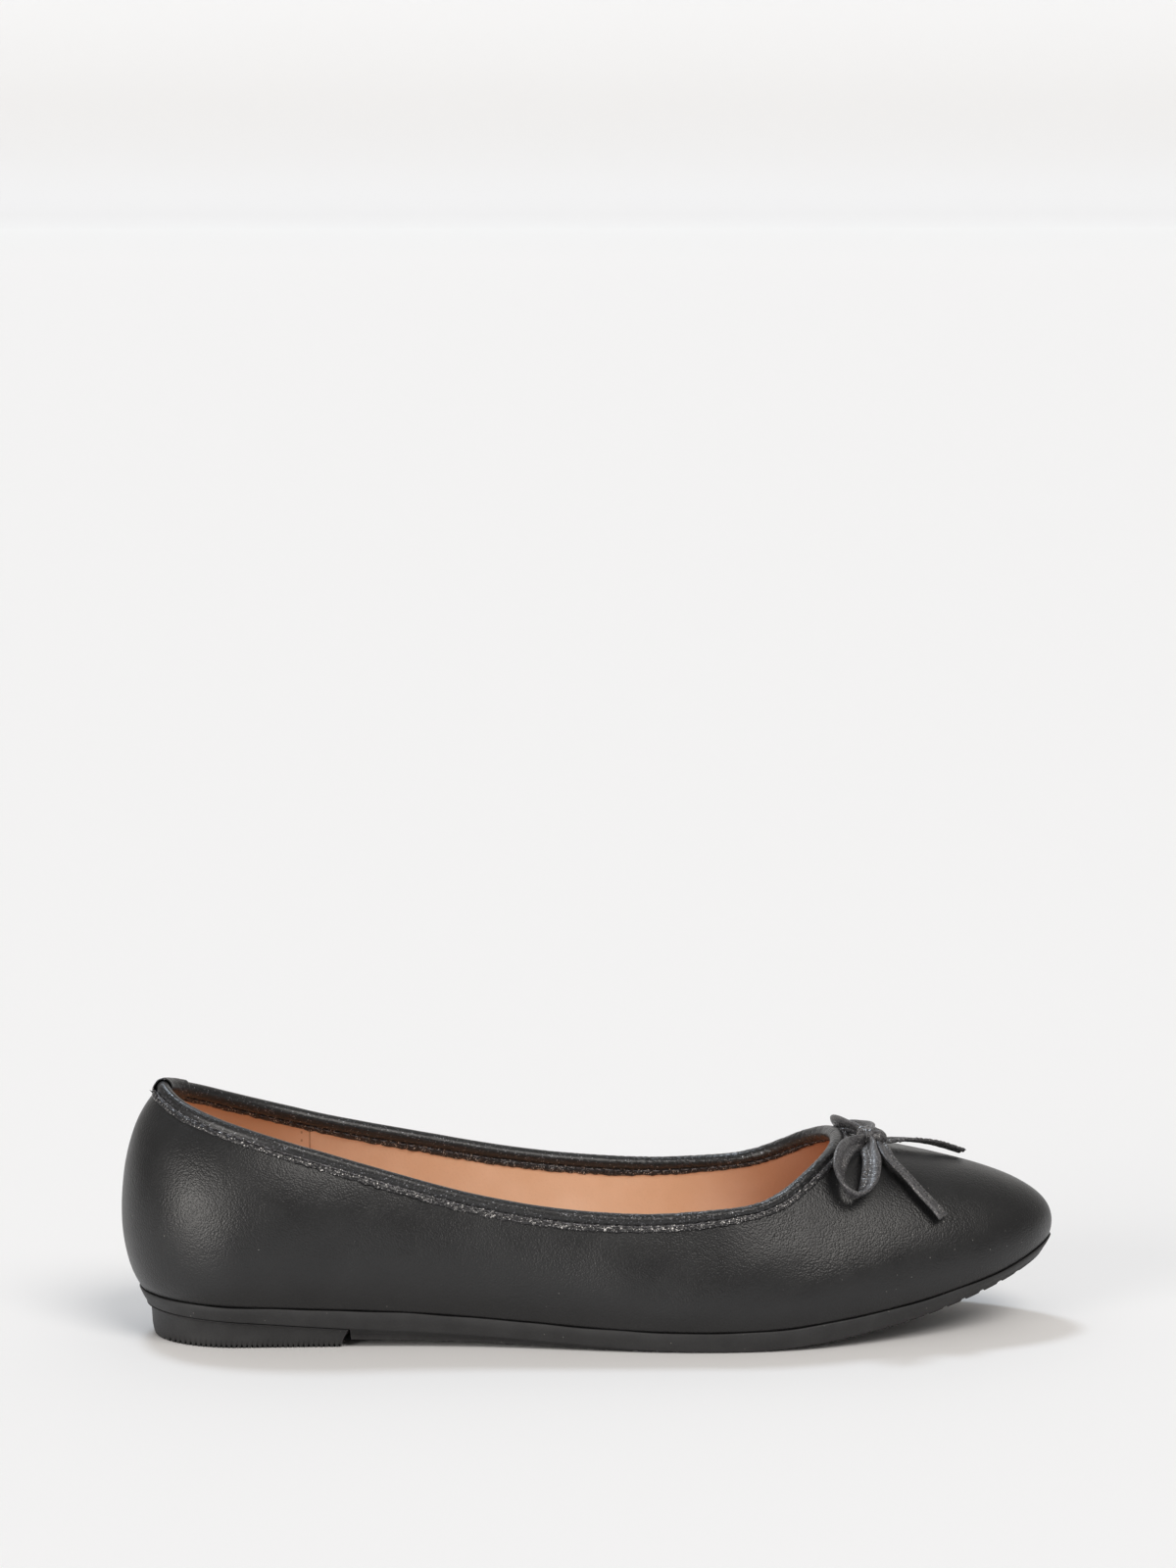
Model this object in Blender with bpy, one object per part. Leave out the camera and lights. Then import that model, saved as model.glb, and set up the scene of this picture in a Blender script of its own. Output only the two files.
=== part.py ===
"""A woman's ballet flat with a ribbon bow, for the right foot, as the pieces a maker joins.

Metres. +X points to the toe, -Y to the outer (lateral) side of the foot, +Z up.
The floor is Z = 0 and the origin lies under the middle of the shoe's box.
The upper is one lasted wall: it rises from the feather line, where it meets the sole,
to the topline round the collar, and its lasting margin turns under at the bottom.
"""

from math import cos, pi, radians, sin, sqrt

import bmesh
import bpy
import numpy as np
from mathutils import Vector

# Driving sizes of the sole
SOLE_LENGTH = 0.2443
BALL_WIDTH = 0.0770
SOLE_THICKNESS = 0.0056
SOLE_PROUD = 0.0004
HEEL_HEIGHT = 0.0062
HEEL_LENGTH = 0.0556
WAIST_LIFT = 0.0021
TOE_SPRING = 0.0187
BAND_FLARE = 0.0018
BAND_STEP = 0.0007
TREAD_TAPER = 0.0008
HEEL_STEP = 0.0013
HEEL_CHAMFER = 0.0012
BREAST_SLANT = 0.0020

# Driving sizes of the upper
UPPER_WALL = 0.0016
MARGIN_WIDTH = 0.0070
BACK_HEIGHT = 0.0537
COLLAR_LENGTH = 0.1820
COLLAR_SETBACK = 0.0052
HEEL_BULGE = 0.0042
TOE_PROUD = 0.0007
SWEEP = radians(14)

# Driving sizes of the pieces on and in the upper
INSOLE_THICKNESS = 0.0025
INSOLE_INSET = 0.0033
BINDING_ROLL = 0.0038
BINDING_HEIGHT = 0.0057
BINDING_LIFT = 0.0009
TAPE_THICKNESS = 0.0005
GAP = 0.0003

# Driving sizes of the bow
RIBBON_WIDTH = 0.0050
RIBBON_THICKNESS = 0.0012
KNOT_SETBACK = 0.0075
KNOT_ASIDE = -0.0050
KNOT_LENGTH = 0.0076
KNOT_WIDTH = 0.0060
KNOT_HEIGHT = 0.0044
LOOP_LENGTH = 0.0240
TAIL_LENGTH = 0.0270

# How finely the curved pieces are cut into flats
WALL_RAYS = 64
WALL_STEPS = 12
SOLE_STATIONS = 56
INSOLE_STATIONS = 44
HEEL_STATIONS = 31
ROLL_FLATS = 7
LOOP_STATIONS = 27
TAIL_STATIONS = 13
KNOT_SEGMENTS = 14
KNOT_RINGS = 9

# How square the knot's pillow is: 0 is a ball and 1 is a brick.
KNOT_FULLNESS = 0.35

# How the place on the vamp above a point is looked for: rays and steps of the first look,
# the lowest rise that belongs to the vamp, and the later closer looks.
VAMP_RAYS = 61
VAMP_STEPS = 25
VAMP_LOWEST = 0.2
CLOSER_LOOKS = 6

HALF_BALL = BALL_WIDTH / 2
OVERALL_LENGTH = HEEL_BULGE + SOLE_LENGTH + TOE_PROUD
FEATHER_BACK = -OVERALL_LENGTH / 2 + HEEL_BULGE
HEEL_BREAST = HEEL_LENGTH / SOLE_LENGTH

# The sole's outline at the feather line. Shares of the length from the back, then the
# middle line and the half width as shares of half the ball width, before the round ends.
OUTLINE = (
    # length, middle, half width
    (0.00, -0.02, 0.680),
    (0.12, -0.02, 0.695),
    (0.25, -0.04, 0.675),
    (0.40, -0.085, 0.707),
    (0.52, -0.097, 0.838),
    (0.63, -0.036, 0.958),
    (0.73, 0.032, 0.970),
    (0.82, 0.100, 0.946),
    (0.92, 0.130, 0.935),
    (1.00, 0.140, 0.935),
)
HEEL_CAP = (0.115, 2.1)
TOE_CAP = (0.300, 1.85)

# Height of the sole's top edge: the lift as a share of the heel height, and the
# thickness as a share of the sole's thickness. The toe spring is added to both.
SOLE_TOP = (
    # length, lift, thickness
    (0.00, 1.190, 0.950),
    (0.05, 1.105, 0.920),
    (0.13, 0.990, 0.900),
    (0.22, 0.857, 0.900),
    (0.30, 0.700, 0.920),
    (0.38, 0.460, 0.950),
    (0.46, 0.220, 0.975),
    (0.53, 0.060, 0.985),
    (0.59, 0.000, 0.985),
    (0.66, 0.000, 1.000),
    (0.73, 0.000, 1.050),
    (0.80, 0.000, 0.980),
    (0.86, 0.000, 0.840),
    (0.91, 0.000, 0.715),
    (0.95, 0.000, 0.630),
    (1.00, 0.000, 0.720),
)

# The sole is flat on the floor under the ball, between the waist's end and the spring's
# start. Shares of the sole's length, and the toe spring's curve.
FLAT_START = 0.585
SPRING_START = 0.652
SPRING_POWER = 1.9
FLAT_EDGE = 0.004

# Height of the plain band under the feather line, as a share of the sole's thickness.
# Below it the heel begins, and in front of the heel the tread layer, which steps in.
BAND = (
    # length, band
    (0.00, 0.70),
    (0.11, 0.74),
    (0.22, 0.90),
    (0.40, 0.88),
    (0.58, 0.90),
    (0.72, 0.93),
    (0.80, 0.84),
    (0.86, 0.70),
    (0.92, 0.50),
    (1.00, 0.50),
)

# The topline seen from above: shares of the collar's length from its back, then the
# middle line and the half width as shares of half the ball width.
TOPLINE = (
    # length, middle, half width
    (0.00, -0.02, 0.600),
    (0.20, -0.02, 0.625),
    (0.40, -0.013, 0.730),
    (0.55, -0.013, 0.836),
    (0.70, -0.005, 0.900),
    (0.82, 0.010, 0.915),
    (1.00, 0.050, 0.910),
)
BACK_CAP = (0.200, 1.8)
THROAT_CAP = (0.225, 2.25)

# Height of the topline above the sole's top, as shares of the height at the back.
COLLAR_HEIGHT = (
    # length, lateral, medial
    (0.00, 0.990, 0.990),
    (0.02, 0.945, 0.970),
    (0.05, 0.903, 0.938),
    (0.13, 0.828, 0.855),
    (0.27, 0.706, 0.744),
    (0.41, 0.596, 0.660),
    (0.55, 0.540, 0.598),
    (0.65, 0.532, 0.580),
    (0.75, 0.545, 0.580),
    (0.83, 0.572, 0.597),
    (0.90, 0.618, 0.640),
    (0.96, 0.727, 0.730),
    (1.00, 0.795, 0.795),
)

# How the wall leaves the feather line and how it reaches the topline. Shares of the
# sole's length, then the outward part as shares of the heel's bulge, the upward and
# downward parts as shares of the straight way between the lines, and the slide as a
# share of that way seen from above.
WALL_SWEEP = (
    # length, lower out, lower up, upper slide, upper down, upper out
    (0.00, 1.80, 0.175, 0.33, 0.210, 2.50),
    (0.07, 1.65, 0.190, 0.33, 0.225, 2.10),
    (0.25, 1.05, 0.260, 0.33, 0.300, 1.20),
    (0.50, 0.85, 0.310, 0.33, 0.350, 0.65),
    (0.75, 0.90, 0.300, 0.36, 0.290, 0.60),
    (0.90, 1.20, 0.270, 0.42, 0.150, 0.30),
    (1.00, 1.40, 0.265, 0.46, 0.095, 0.00),
)

# The way of each ribbon over the vamp from the knot: shares of the loop's or the tail's
# length forwards and sideways, the height of its middle over the vamp as a share of the
# ribbon's width, how far it is turned up on its edge, in degrees, and how much of its width
# is left where the knot pulls it together.
LATERAL_LOOP = (
    # forward, sideways, rise, turn, width
    (-0.110, -0.140, 0.44, -80, 0.60),
    (-0.160, -0.250, 0.47, -55, 0.84),
    (-0.275, -0.380, 0.54, -30, 0.97),
    (-0.380, -0.555, 0.72, -20, 1.00),
    (-0.460, -0.735, 0.84, -25, 1.00),
    (-0.465, -0.860, 0.92, -50, 1.00),
    (-0.390, -0.930, 0.97, -80, 1.00),
    (-0.265, -0.920, 0.97, -80, 1.00),
    (-0.175, -0.835, 0.92, -50, 1.00),
    (-0.115, -0.720, 0.84, -25, 1.00),
    (-0.080, -0.545, 0.72, -20, 1.00),
    (-0.080, -0.400, 0.56, -30, 0.92),
    (-0.055, -0.250, 0.48, -55, 0.80),
    (-0.035, -0.140, 0.46, -80, 0.60),
)
MEDIAL_LOOP = (
    # forward, sideways, rise, turn, width
    (-0.110, 0.140, 0.46, 80, 0.60),
    (-0.145, 0.260, 0.46, 45, 0.80),
    (-0.200, 0.450, 0.51, 30, 0.92),
    (-0.280, 0.640, 0.56, 36, 0.88),
    (-0.338, 0.790, 0.61, 55, 0.82),
    (-0.330, 0.880, 0.62, 75, 0.80),
    (-0.275, 0.930, 0.61, 82, 0.80),
    (-0.175, 0.875, 0.59, 78, 0.82),
    (-0.070, 0.730, 0.55, 72, 0.85),
    (-0.005, 0.540, 0.53, 70, 0.85),
    (0.020, 0.330, 0.50, 72, 0.78),
    (-0.010, 0.140, 0.46, 80, 0.60),
)
LATERAL_TAIL = (
    # forward, sideways, rise, turn, width
    (0.095, -0.135, 0.39, 0, 0.70),
    (0.135, -0.335, 0.41, -10, 0.86),
    (0.270, -0.485, 0.45, -22, 0.86),
    (0.405, -0.590, 0.47, -24, 0.86),
    (0.530, -0.650, 0.47, -24, 0.86),
    (0.625, -0.690, 0.47, -24, 0.86),
)
MEDIAL_TAIL = (
    # forward, sideways, rise, turn, width
    (0.155, 0.060, 0.35, 0, 0.70),
    (0.330, 0.150, 0.47, -14, 0.80),
    (0.565, 0.240, 0.55, -20, 0.80),
    (0.750, 0.330, 0.49, -20, 0.80),
    (0.870, 0.395, 0.42, -16, 0.80),
    (0.950, 0.435, 0.38, -14, 0.80),
)


def through(table, column, share):
    """Reads one column of a table between its rows, along a smooth curve through them."""
    rows = np.array(table, dtype=float)
    at, value = rows[:, 0], rows[:, column]
    step = np.diff(at)
    rise = np.diff(value) / step
    count = len(at)
    system = np.zeros((count, count))
    right = np.zeros(count)
    system[0, :2] = 2, 1
    system[-1, -2:] = 1, 2
    right[0] = 3 * rise[0]
    right[-1] = 3 * rise[-1]
    for row in range(1, count - 1):
        before, after = 1 / step[row - 1], 1 / step[row]
        system[row, row - 1:row + 2] = before, 2 * (before + after), after
        right[row] = 3 * (rise[row - 1] * before + rise[row] * after)
    slope = np.linalg.solve(system, right)
    share = np.asarray(share, dtype=float)
    row = np.clip(np.searchsorted(at, share) - 1, 0, count - 2)
    part = (share - at[row]) / step[row]
    rest = 1 - part
    return (rest ** 2 * (1 + 2 * part) * value[row] + part ** 2 * (1 + 2 * rest) * value[row + 1]
            + part * rest * step[row] * (rest * slope[row] - part * slope[row + 1]))


def round_end(share, cap):
    """Brings a half width to nothing at an end, over the cap's length, as an oval does."""
    length, power = cap
    left = np.clip(1 - share / length, 0, 1)
    return (1 - left ** power) ** (1 / power)


def run(angle):
    """Share of the length from the back to the front, for an angle round the loop."""
    return (1 - np.cos(angle)) / 2


def angle_at(share):
    """The angle on the lateral half of the loop for a share of the length."""
    return np.arccos(1 - 2 * share)


def side_of(angle):
    """-1 on the lateral half of the loop, +1 on the medial half."""
    return np.where(np.mod(angle, 2 * pi) < pi, -1.0, 1.0)


def sole_share(x):
    return np.clip((x - FEATHER_BACK) / SOLE_LENGTH, 0, 1)


def toe_spring(share):
    part = np.clip((share - SPRING_START) / (1 - SPRING_START), 0, 1)
    return TOE_SPRING * part ** SPRING_POWER


def sole_top(x):
    """Height of the sole's top face, the same right across the shoe."""
    share = sole_share(x)
    lift = HEEL_HEIGHT * through(SOLE_TOP, 1, share)
    thickness = SOLE_THICKNESS * through(SOLE_TOP, 2, share)
    return lift + thickness + toe_spring(share)


def sole_underside(x):
    """Height of the tread in front of the heel: waist, flat under the ball, toe spring."""
    share = sole_share(x)
    part = np.clip((FLAT_START - share) / (FLAT_START - HEEL_BREAST), 0, 1)
    return WAIST_LIFT * part ** 2 * (3 - 2 * part) + toe_spring(share)


def outline(angle, outwards=0.0):
    """The feather line from above, moved outwards along its own normal."""
    def bare(angle):
        share = run(angle)
        half = through(OUTLINE, 2, share) * round_end(share, HEEL_CAP) * round_end(1 - share, TOE_CAP)
        y = HALF_BALL * (through(OUTLINE, 1, share) + side_of(angle) * half)
        return np.stack([FEATHER_BACK + SOLE_LENGTH * share, y], axis=-1)
    return bare(angle) + outwards * plan_normal(bare, angle)


def plan_normal(line, angle, step=0.004):
    """Outward unit normal of a loop that starts at the back and runs along the lateral side."""
    way = line(angle + step) - line(angle - step)
    way /= np.linalg.norm(way, axis=-1, keepdims=True)
    return np.stack([way[..., 1], -way[..., 0]], axis=-1)


def feather(angle):
    """Where the wall's outer face leaves the sole."""
    plan = outline(angle)
    return np.concatenate([plan, sole_top(plan[..., :1]) + GAP], axis=-1)


def topline(angle):
    """The outer corner of the wall's cut edge round the collar."""
    share = run(angle)
    half = through(TOPLINE, 2, share) * round_end(share, BACK_CAP) * round_end(1 - share, THROAT_CAP)
    x = FEATHER_BACK + COLLAR_SETBACK + COLLAR_LENGTH * share
    y = HALF_BALL * (through(TOPLINE, 1, share) + side_of(angle) * half)
    lateral, medial = through(COLLAR_HEIGHT, 1, share), through(COLLAR_HEIGHT, 2, share)
    height = BACK_HEIGHT * np.where(side_of(angle) < 0, lateral, medial)
    return np.stack([x, y, sole_top(x) + height], axis=-1)


def collar_angle(angle):
    """The angle on the topline that a ray from the feather line rises to."""
    return angle - side_of(angle) * SWEEP * np.sin(angle) ** 2


def wall(angle, rise):
    """The wall's outer face: angle round the shoe, and rise from 0 at the sole to 1 at the edge."""
    angle, rise = np.broadcast_arrays(np.asarray(angle, dtype=float), np.asarray(rise, dtype=float))
    share = run(angle)
    low, high = feather(angle), topline(collar_angle(angle))
    way = high - low
    reach = np.linalg.norm(way, axis=-1)
    level = way * (1, 1, 0)
    low_out = np.concatenate([plan_normal(outline, angle), np.zeros(angle.shape + (1,))], axis=-1)
    high_out = plan_normal(lambda turn: topline(turn)[..., :2], collar_angle(angle))
    high_out = np.concatenate([high_out, np.zeros(angle.shape + (1,))], axis=-1)
    column = [through(WALL_SWEEP, index, share)[..., None] for index in range(1, 6)]
    lower_out, lower_up, upper_slide, upper_down, upper_out = column
    up = np.array([0.0, 0.0, 1.0])
    reach = reach[..., None]
    leave = low + low_out * HEEL_BULGE * lower_out + up * reach * lower_up
    arrive = high - level * upper_slide + high_out * HEEL_BULGE * upper_out - up * reach * upper_down
    part = rise[..., None]
    rest = 1 - part
    return rest ** 3 * low + 3 * rest ** 2 * part * leave + 3 * rest * part ** 2 * arrive + part ** 3 * high


def wall_normal(angle, rise, step=0.004):
    """Outward unit normal of the wall's outer face."""
    angle, rise = np.broadcast_arrays(np.asarray(angle, dtype=float), np.asarray(rise, dtype=float))
    round_way = wall(angle + step, rise) - wall(angle - step, rise)
    above, below = np.clip(rise + step, 0, 1), np.clip(rise - step, 0, 1)
    up_way = wall(angle, above) - wall(angle, below)
    normal = np.cross(round_way, up_way)
    return normal / np.linalg.norm(normal, axis=-1, keepdims=True)


def vamp_seat(x, y):
    """The place on the vamp's outer face straight above a point in plan, and its normal."""
    angles = np.linspace(pi / 2, 3 * pi / 2, VAMP_RAYS)[:, None]
    rises = np.linspace(VAMP_LOWEST, 1, VAMP_STEPS)[None, :]
    places = wall(angles, rises)
    near = np.argmin((places[..., 0] - x) ** 2 + (places[..., 1] - y) ** 2)
    index = np.unravel_index(near, places.shape[:2])
    angle, rise = angles[index[0], 0], rises[0, index[1]]
    step, longest = 0.002, 0.2
    for _ in range(CLOSER_LOOKS):
        here = wall(angle, rise)[:2]
        by_angle = (wall(angle + step, rise)[:2] - here) / step
        by_rise = (wall(angle, rise - step)[:2] - here) / -step
        move = np.linalg.solve(np.stack([by_angle, by_rise], axis=1), np.array([x, y]) - here)
        angle = angle + np.clip(move[0], -longest, longest)
        rise = np.clip(rise + np.clip(move[1], -longest, longest), step, 1.0)
    return wall(angle, rise), wall_normal(angle, rise)


def colour(name, red, green, blue, roughness):
    """A plain Principled material, its colour in linear values."""
    material = bpy.data.materials.new(name)
    material.use_nodes = True
    shader = material.node_tree.nodes["Principled BSDF"]
    shader.inputs["Base Color"].default_value = (red, green, blue, 1)
    shader.inputs["Roughness"].default_value = roughness
    shader.inputs["Metallic"].default_value = 0.0
    material.diffuse_color = (red, green, blue, 1)
    return material


def add_solid(name, bm, material, smooth_angle=35):
    """Turns a bmesh into a named object whose faces point out."""
    bmesh.ops.recalc_face_normals(bm, faces=bm.faces)
    mesh = bpy.data.meshes.new(name)
    bm.to_mesh(mesh)
    bm.free()
    mesh.materials.append(material)
    mesh.shade_smooth()
    mesh.set_sharp_from_angle(angle=radians(smooth_angle))
    piece = bpy.data.objects.new(name, mesh)
    bpy.context.scene.collection.objects.link(piece)
    return piece


def add_rings(bm, rings):
    """Adds the points of a stack of rings, each a row of places."""
    return [[bm.verts.new(Vector(place)) for place in ring] for ring in rings]


def join_rings(bm, first, second):
    """Joins two closed rings with a strip of faces, cut into triangles."""
    count = len(first)
    for index in range(count):
        after = (index + 1) % count
        quad = bm.faces.new((first[index], first[after], second[after], second[index]))
        bmesh.ops.triangulate(bm, faces=[quad])


def close_ladder(bm, ring):
    """Closes a ring by rungs from its lateral half to its medial half."""
    count = len(ring)
    bm.faces.new((ring[0], ring[1], ring[-1]))
    for index in range(1, count // 2 - 1):
        rung = (ring[index], ring[index + 1], ring[count - index - 1], ring[count - index])
        bmesh.ops.triangulate(bm, faces=[bm.faces.new(rung)])
    middle = count // 2
    bm.faces.new((ring[middle - 1], ring[middle], ring[middle + 1]))


def round_loop(rings):
    """A solid from rings that follow one another in a closed loop."""
    bm = bmesh.new()
    made = add_rings(bm, rings)
    for index, ring in enumerate(made):
        join_rings(bm, ring, made[(index + 1) % len(made)])
    return bm


def stack(rings, close):
    """A solid from rings stacked on one another, closed at both ends."""
    bm = bmesh.new()
    made = add_rings(bm, rings)
    for lower, upper in zip(made, made[1:]):
        join_rings(bm, lower, upper)
    close(bm, made[0])
    close(bm, made[-1])
    return bm


def close_flat(bm, ring):
    """Closes a ring with one flat face."""
    bm.faces.new(ring)


def close_block(bm, ring):
    """Closes a ring that starts and ends at a straight front, by rungs across it."""
    count = len(ring)
    for index in range(count // 2 - 1):
        rung = (ring[index], ring[index + 1], ring[count - index - 2], ring[count - index - 1])
        bmesh.ops.triangulate(bm, faces=[bm.faces.new(rung)])
    middle = count // 2
    bm.faces.new((ring[middle - 1], ring[middle], ring[middle + 1]))


def level_ring(angles, outwards, height):
    """The outline moved outwards, each point at the height that a function of x gives."""
    plan = outline(angles, outwards)
    return np.concatenate([plan, height(plan[:, :1])], axis=-1)


def make_upper(material):
    """The one hollow wall with its cut edge at the collar and its margin turned under."""
    angles = np.linspace(0, 2 * pi, WALL_RAYS, endpoint=False)
    rises = np.linspace(0, 1, WALL_STEPS + 1)
    grid_angles, grid_rises = np.meshgrid(angles, rises, indexing="ij")
    outer = wall(grid_angles, grid_rises)
    inner = outer - UPPER_WALL * wall_normal(grid_angles, grid_rises)
    def margin(inwards, raised):
        return level_ring(angles, -inwards, lambda x: sole_top(x) + GAP + raised)
    inner[:, 0] = margin(UPPER_WALL, UPPER_WALL)
    rings = []
    for ray in range(WALL_RAYS):
        ring = list(outer[ray]) + list(inner[ray][::-1])
        for inwards, raised in ((0.5, 1), (1, 1), (1, 0), (0.5, 0)):
            ring.append(margin(MARGIN_WIDTH * inwards, UPPER_WALL * raised)[ray])
        rings.append(ring)
    return add_solid("upper", round_loop(rings), material)


def sole_angles():
    """Angles of the outsole's stations.

    Two close ones lie where the heel seat steps up, and one at each end of the flat spot.
    """
    half = np.linspace(0, pi, SOLE_STATIONS // 2 + 1)
    for end in (angle_at(FLAT_START + FLAT_EDGE), angle_at(SPRING_START - FLAT_EDGE)):
        half[np.argmin(abs(half - end))] = end
    breast = angle_at(HEEL_BREAST)
    step = GAP / (SOLE_LENGTH * sin(breast))
    half = np.delete(half, np.argmin(abs(half - breast)))
    half = np.sort(np.append(half, (breast - step, breast + step)))
    return np.concatenate([half, 2 * pi - half[-2:0:-1]])


def band_foot(x):
    """Height of the band's lower edge, which is the heel's seat over the heel."""
    return sole_top(x) - SOLE_THICKNESS * through(BAND, 1, sole_share(x))


def make_outsole(material):
    """The sole unit: a flared edge band, a tread layer that steps in, and the heel's seat."""
    angles = sole_angles()
    seat = outline(angles)[:, :1] < FEATHER_BACK + HEEL_LENGTH
    def step_foot(x):
        return band_foot(x) - GAP / 2
    def underside(x):
        return np.where(seat, band_foot(x) - GAP, sole_underside(x))
    flared = SOLE_PROUD - BAND_FLARE
    rings = (
        level_ring(angles, SOLE_PROUD, sole_top),
        level_ring(angles, flared, band_foot),
        level_ring(angles, flared - BAND_STEP, step_foot),
        level_ring(angles, flared - BAND_STEP - TREAD_TAPER, underside),
    )
    return add_solid("outsole", stack(rings, close_ladder), material)


def make_heel(material):
    """The low heel block under the sole's heel seat, flat on the floor, its breast undercut."""
    breast = FEATHER_BACK + HEEL_LENGTH - 2 * GAP
    turn = angle_at(sole_share(breast))
    angles = np.linspace(turn, -turn, HEEL_STATIONS)
    inset = BAND_FLARE + HEEL_STEP - SOLE_PROUD
    back = FEATHER_BACK + inset
    def ring(inwards, down, height):
        plan = outline(angles, -inset - inwards)
        plan[0, 0] = breast
        plan[-1, 0] = breast
        plan[:, 0] = back + (plan[:, 0] - back) * (1 - down * BREAST_SLANT / (breast - back))
        return np.concatenate([plan, height(plan[:, :1])], axis=-1)
    rings = (
        ring(0, 0, lambda x: band_foot(x) - 2 * GAP),
        ring(HEEL_CHAMFER / 2, 1 - HEEL_CHAMFER / HEEL_HEIGHT, lambda x: x * 0 + HEEL_CHAMFER),
        ring(HEEL_CHAMFER, 1, lambda x: x * 0),
    )
    return add_solid("heel", stack(rings, close_block), material)


def make_insole(material):
    """The insole board: its rim rests on the margin, its body fills down to the sole."""
    angles = np.linspace(0, 2 * pi, INSOLE_STATIONS, endpoint=False)
    body = MARGIN_WIDTH + 2 * GAP
    rim = UPPER_WALL + 2 * GAP
    rings = (
        level_ring(angles, -body, lambda x: sole_top(x) + GAP),
        level_ring(angles, -body, lambda x: sole_top(x) + rim),
        level_ring(angles, -INSOLE_INSET, lambda x: sole_top(x) + rim),
        level_ring(angles, -INSOLE_INSET, lambda x: sole_top(x) + rim + INSOLE_THICKNESS),
    )
    return add_solid("insole", stack(rings, close_ladder), material)


def binding_section():
    """The binding's cut: a roll on top and two legs of tape astride the wall, out and up."""
    slot = UPPER_WALL / 2 + GAP
    leg = slot + TAPE_THICKNESS
    radius = BINDING_ROLL / 2
    foot = BINDING_LIFT + radius - BINDING_HEIGHT
    neck = np.arctan2(-sqrt(radius ** 2 - leg ** 2), leg)
    roll = np.linspace(neck, pi - neck, ROLL_FLATS + 1)
    section = [(slot, foot), (leg, foot)]
    section += [(radius * cos(turn), BINDING_LIFT + radius * sin(turn)) for turn in roll]
    section += [(-leg, foot), (-slot, foot), (-slot, GAP), (slot, GAP)]
    return section


def edge_frame(angle, step=1 / WALL_STEPS):
    """Middle of the wall's cut edge, the way out of the wall, and the way up along it."""
    outwards = wall_normal(angle, 1.0)
    middle = wall(angle, 1.0) - outwards * UPPER_WALL / 2
    upwards = wall(angle, 1.0) - wall(angle, 1.0 - step)
    upwards /= np.linalg.norm(upwards, axis=-1, keepdims=True)
    return middle, outwards, upwards


def make_binding(material):
    """The rolled binding that closes the wall's edge all round the collar."""
    middle, outwards, upwards = edge_frame(np.linspace(0, 2 * pi, WALL_RAYS, endpoint=False))
    section = binding_section()
    rings = []
    for ray in range(WALL_RAYS):
        rings.append([middle[ray] + out * outwards[ray] + up * upwards[ray] for out, up in section])
    return add_solid("binding", round_loop(rings), material)


def knot_frame():
    """The knot's place over the vamp in front of the binding, and its forward, side and up ways."""
    throat = wall(pi, 1.0)
    x, y = throat[0] + KNOT_SETBACK, throat[1] + KNOT_ASIDE
    seat, up = vamp_seat(x, y)
    forward = np.array([1.0, 0.0, 0.0])
    forward -= forward.dot(up) * up
    forward /= np.linalg.norm(forward)
    return seat, forward, np.cross(up, forward), up


def make_knot(material):
    """The knot: a rounded pillow that the loops and tails come out of."""
    seat, forward, aside, up = knot_frame()
    centre = seat + up * (KNOT_HEIGHT / 2 + GAP)
    bm = bmesh.new()
    bmesh.ops.create_uvsphere(bm, u_segments=KNOT_SEGMENTS, v_segments=KNOT_RINGS, radius=1)
    for vert in bm.verts:
        fullness = 1 / max(abs(vert.co.x), abs(vert.co.y), abs(vert.co.z)) ** KNOT_FULLNESS
        length, width, height = (value * fullness / 2 for value in (KNOT_LENGTH, KNOT_WIDTH, KNOT_HEIGHT))
        out = vert.co.x * length * forward + vert.co.y * width * aside
        vert.co = Vector(centre + out + min(max(vert.co.z * height, -KNOT_HEIGHT / 2), KNOT_HEIGHT / 2) * up)
    return add_solid("bow_knot", bm, material)


def ribbon_path(table, length, stations):
    """Points of a ribbon's middle over the vamp, and the vamp's normal, its turn and width there."""
    knot = knot_frame()[0]
    count = len(table)
    numbered = [(index / (count - 1),) + row for index, row in enumerate(table)]
    share = np.linspace(0, 1, stations)
    forward, aside, rise, turn, width = (through(numbered, column, share) for column in range(1, 6))
    points, normals = [], []
    for index in range(stations):
        seat, up = vamp_seat(knot[0] + length * forward[index], knot[1] + length * aside[index])
        points.append(seat + up * RIBBON_WIDTH * rise[index])
        normals.append(up)
    return np.array(points), np.array(normals), np.radians(turn), RIBBON_WIDTH * width


def make_ribbon(name, table, length, stations, material):
    """A flat strip that follows its way over the vamp, turned up on edge where the table says."""
    points, normals, turns, widths = ribbon_path(table, length, stations)
    ways = np.gradient(points, axis=0)
    ways /= np.linalg.norm(ways, axis=1, keepdims=True)
    rings = []
    for point, normal, turn, width, way in zip(points, normals, turns, widths, ways):
        across = np.cross(normal, way)
        across /= np.linalg.norm(across)
        up = np.cross(way, across)
        wide = cos(turn) * across + sin(turn) * up
        thick = np.cross(way, wide)
        corners = ((0.5, 0.5), (0.5, -0.5), (-0.5, -0.5), (-0.5, 0.5))
        rings.append([point + a * width * wide + b * RIBBON_THICKNESS * thick for a, b in corners])
    return add_solid(name, stack(rings, close_flat), material)


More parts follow.
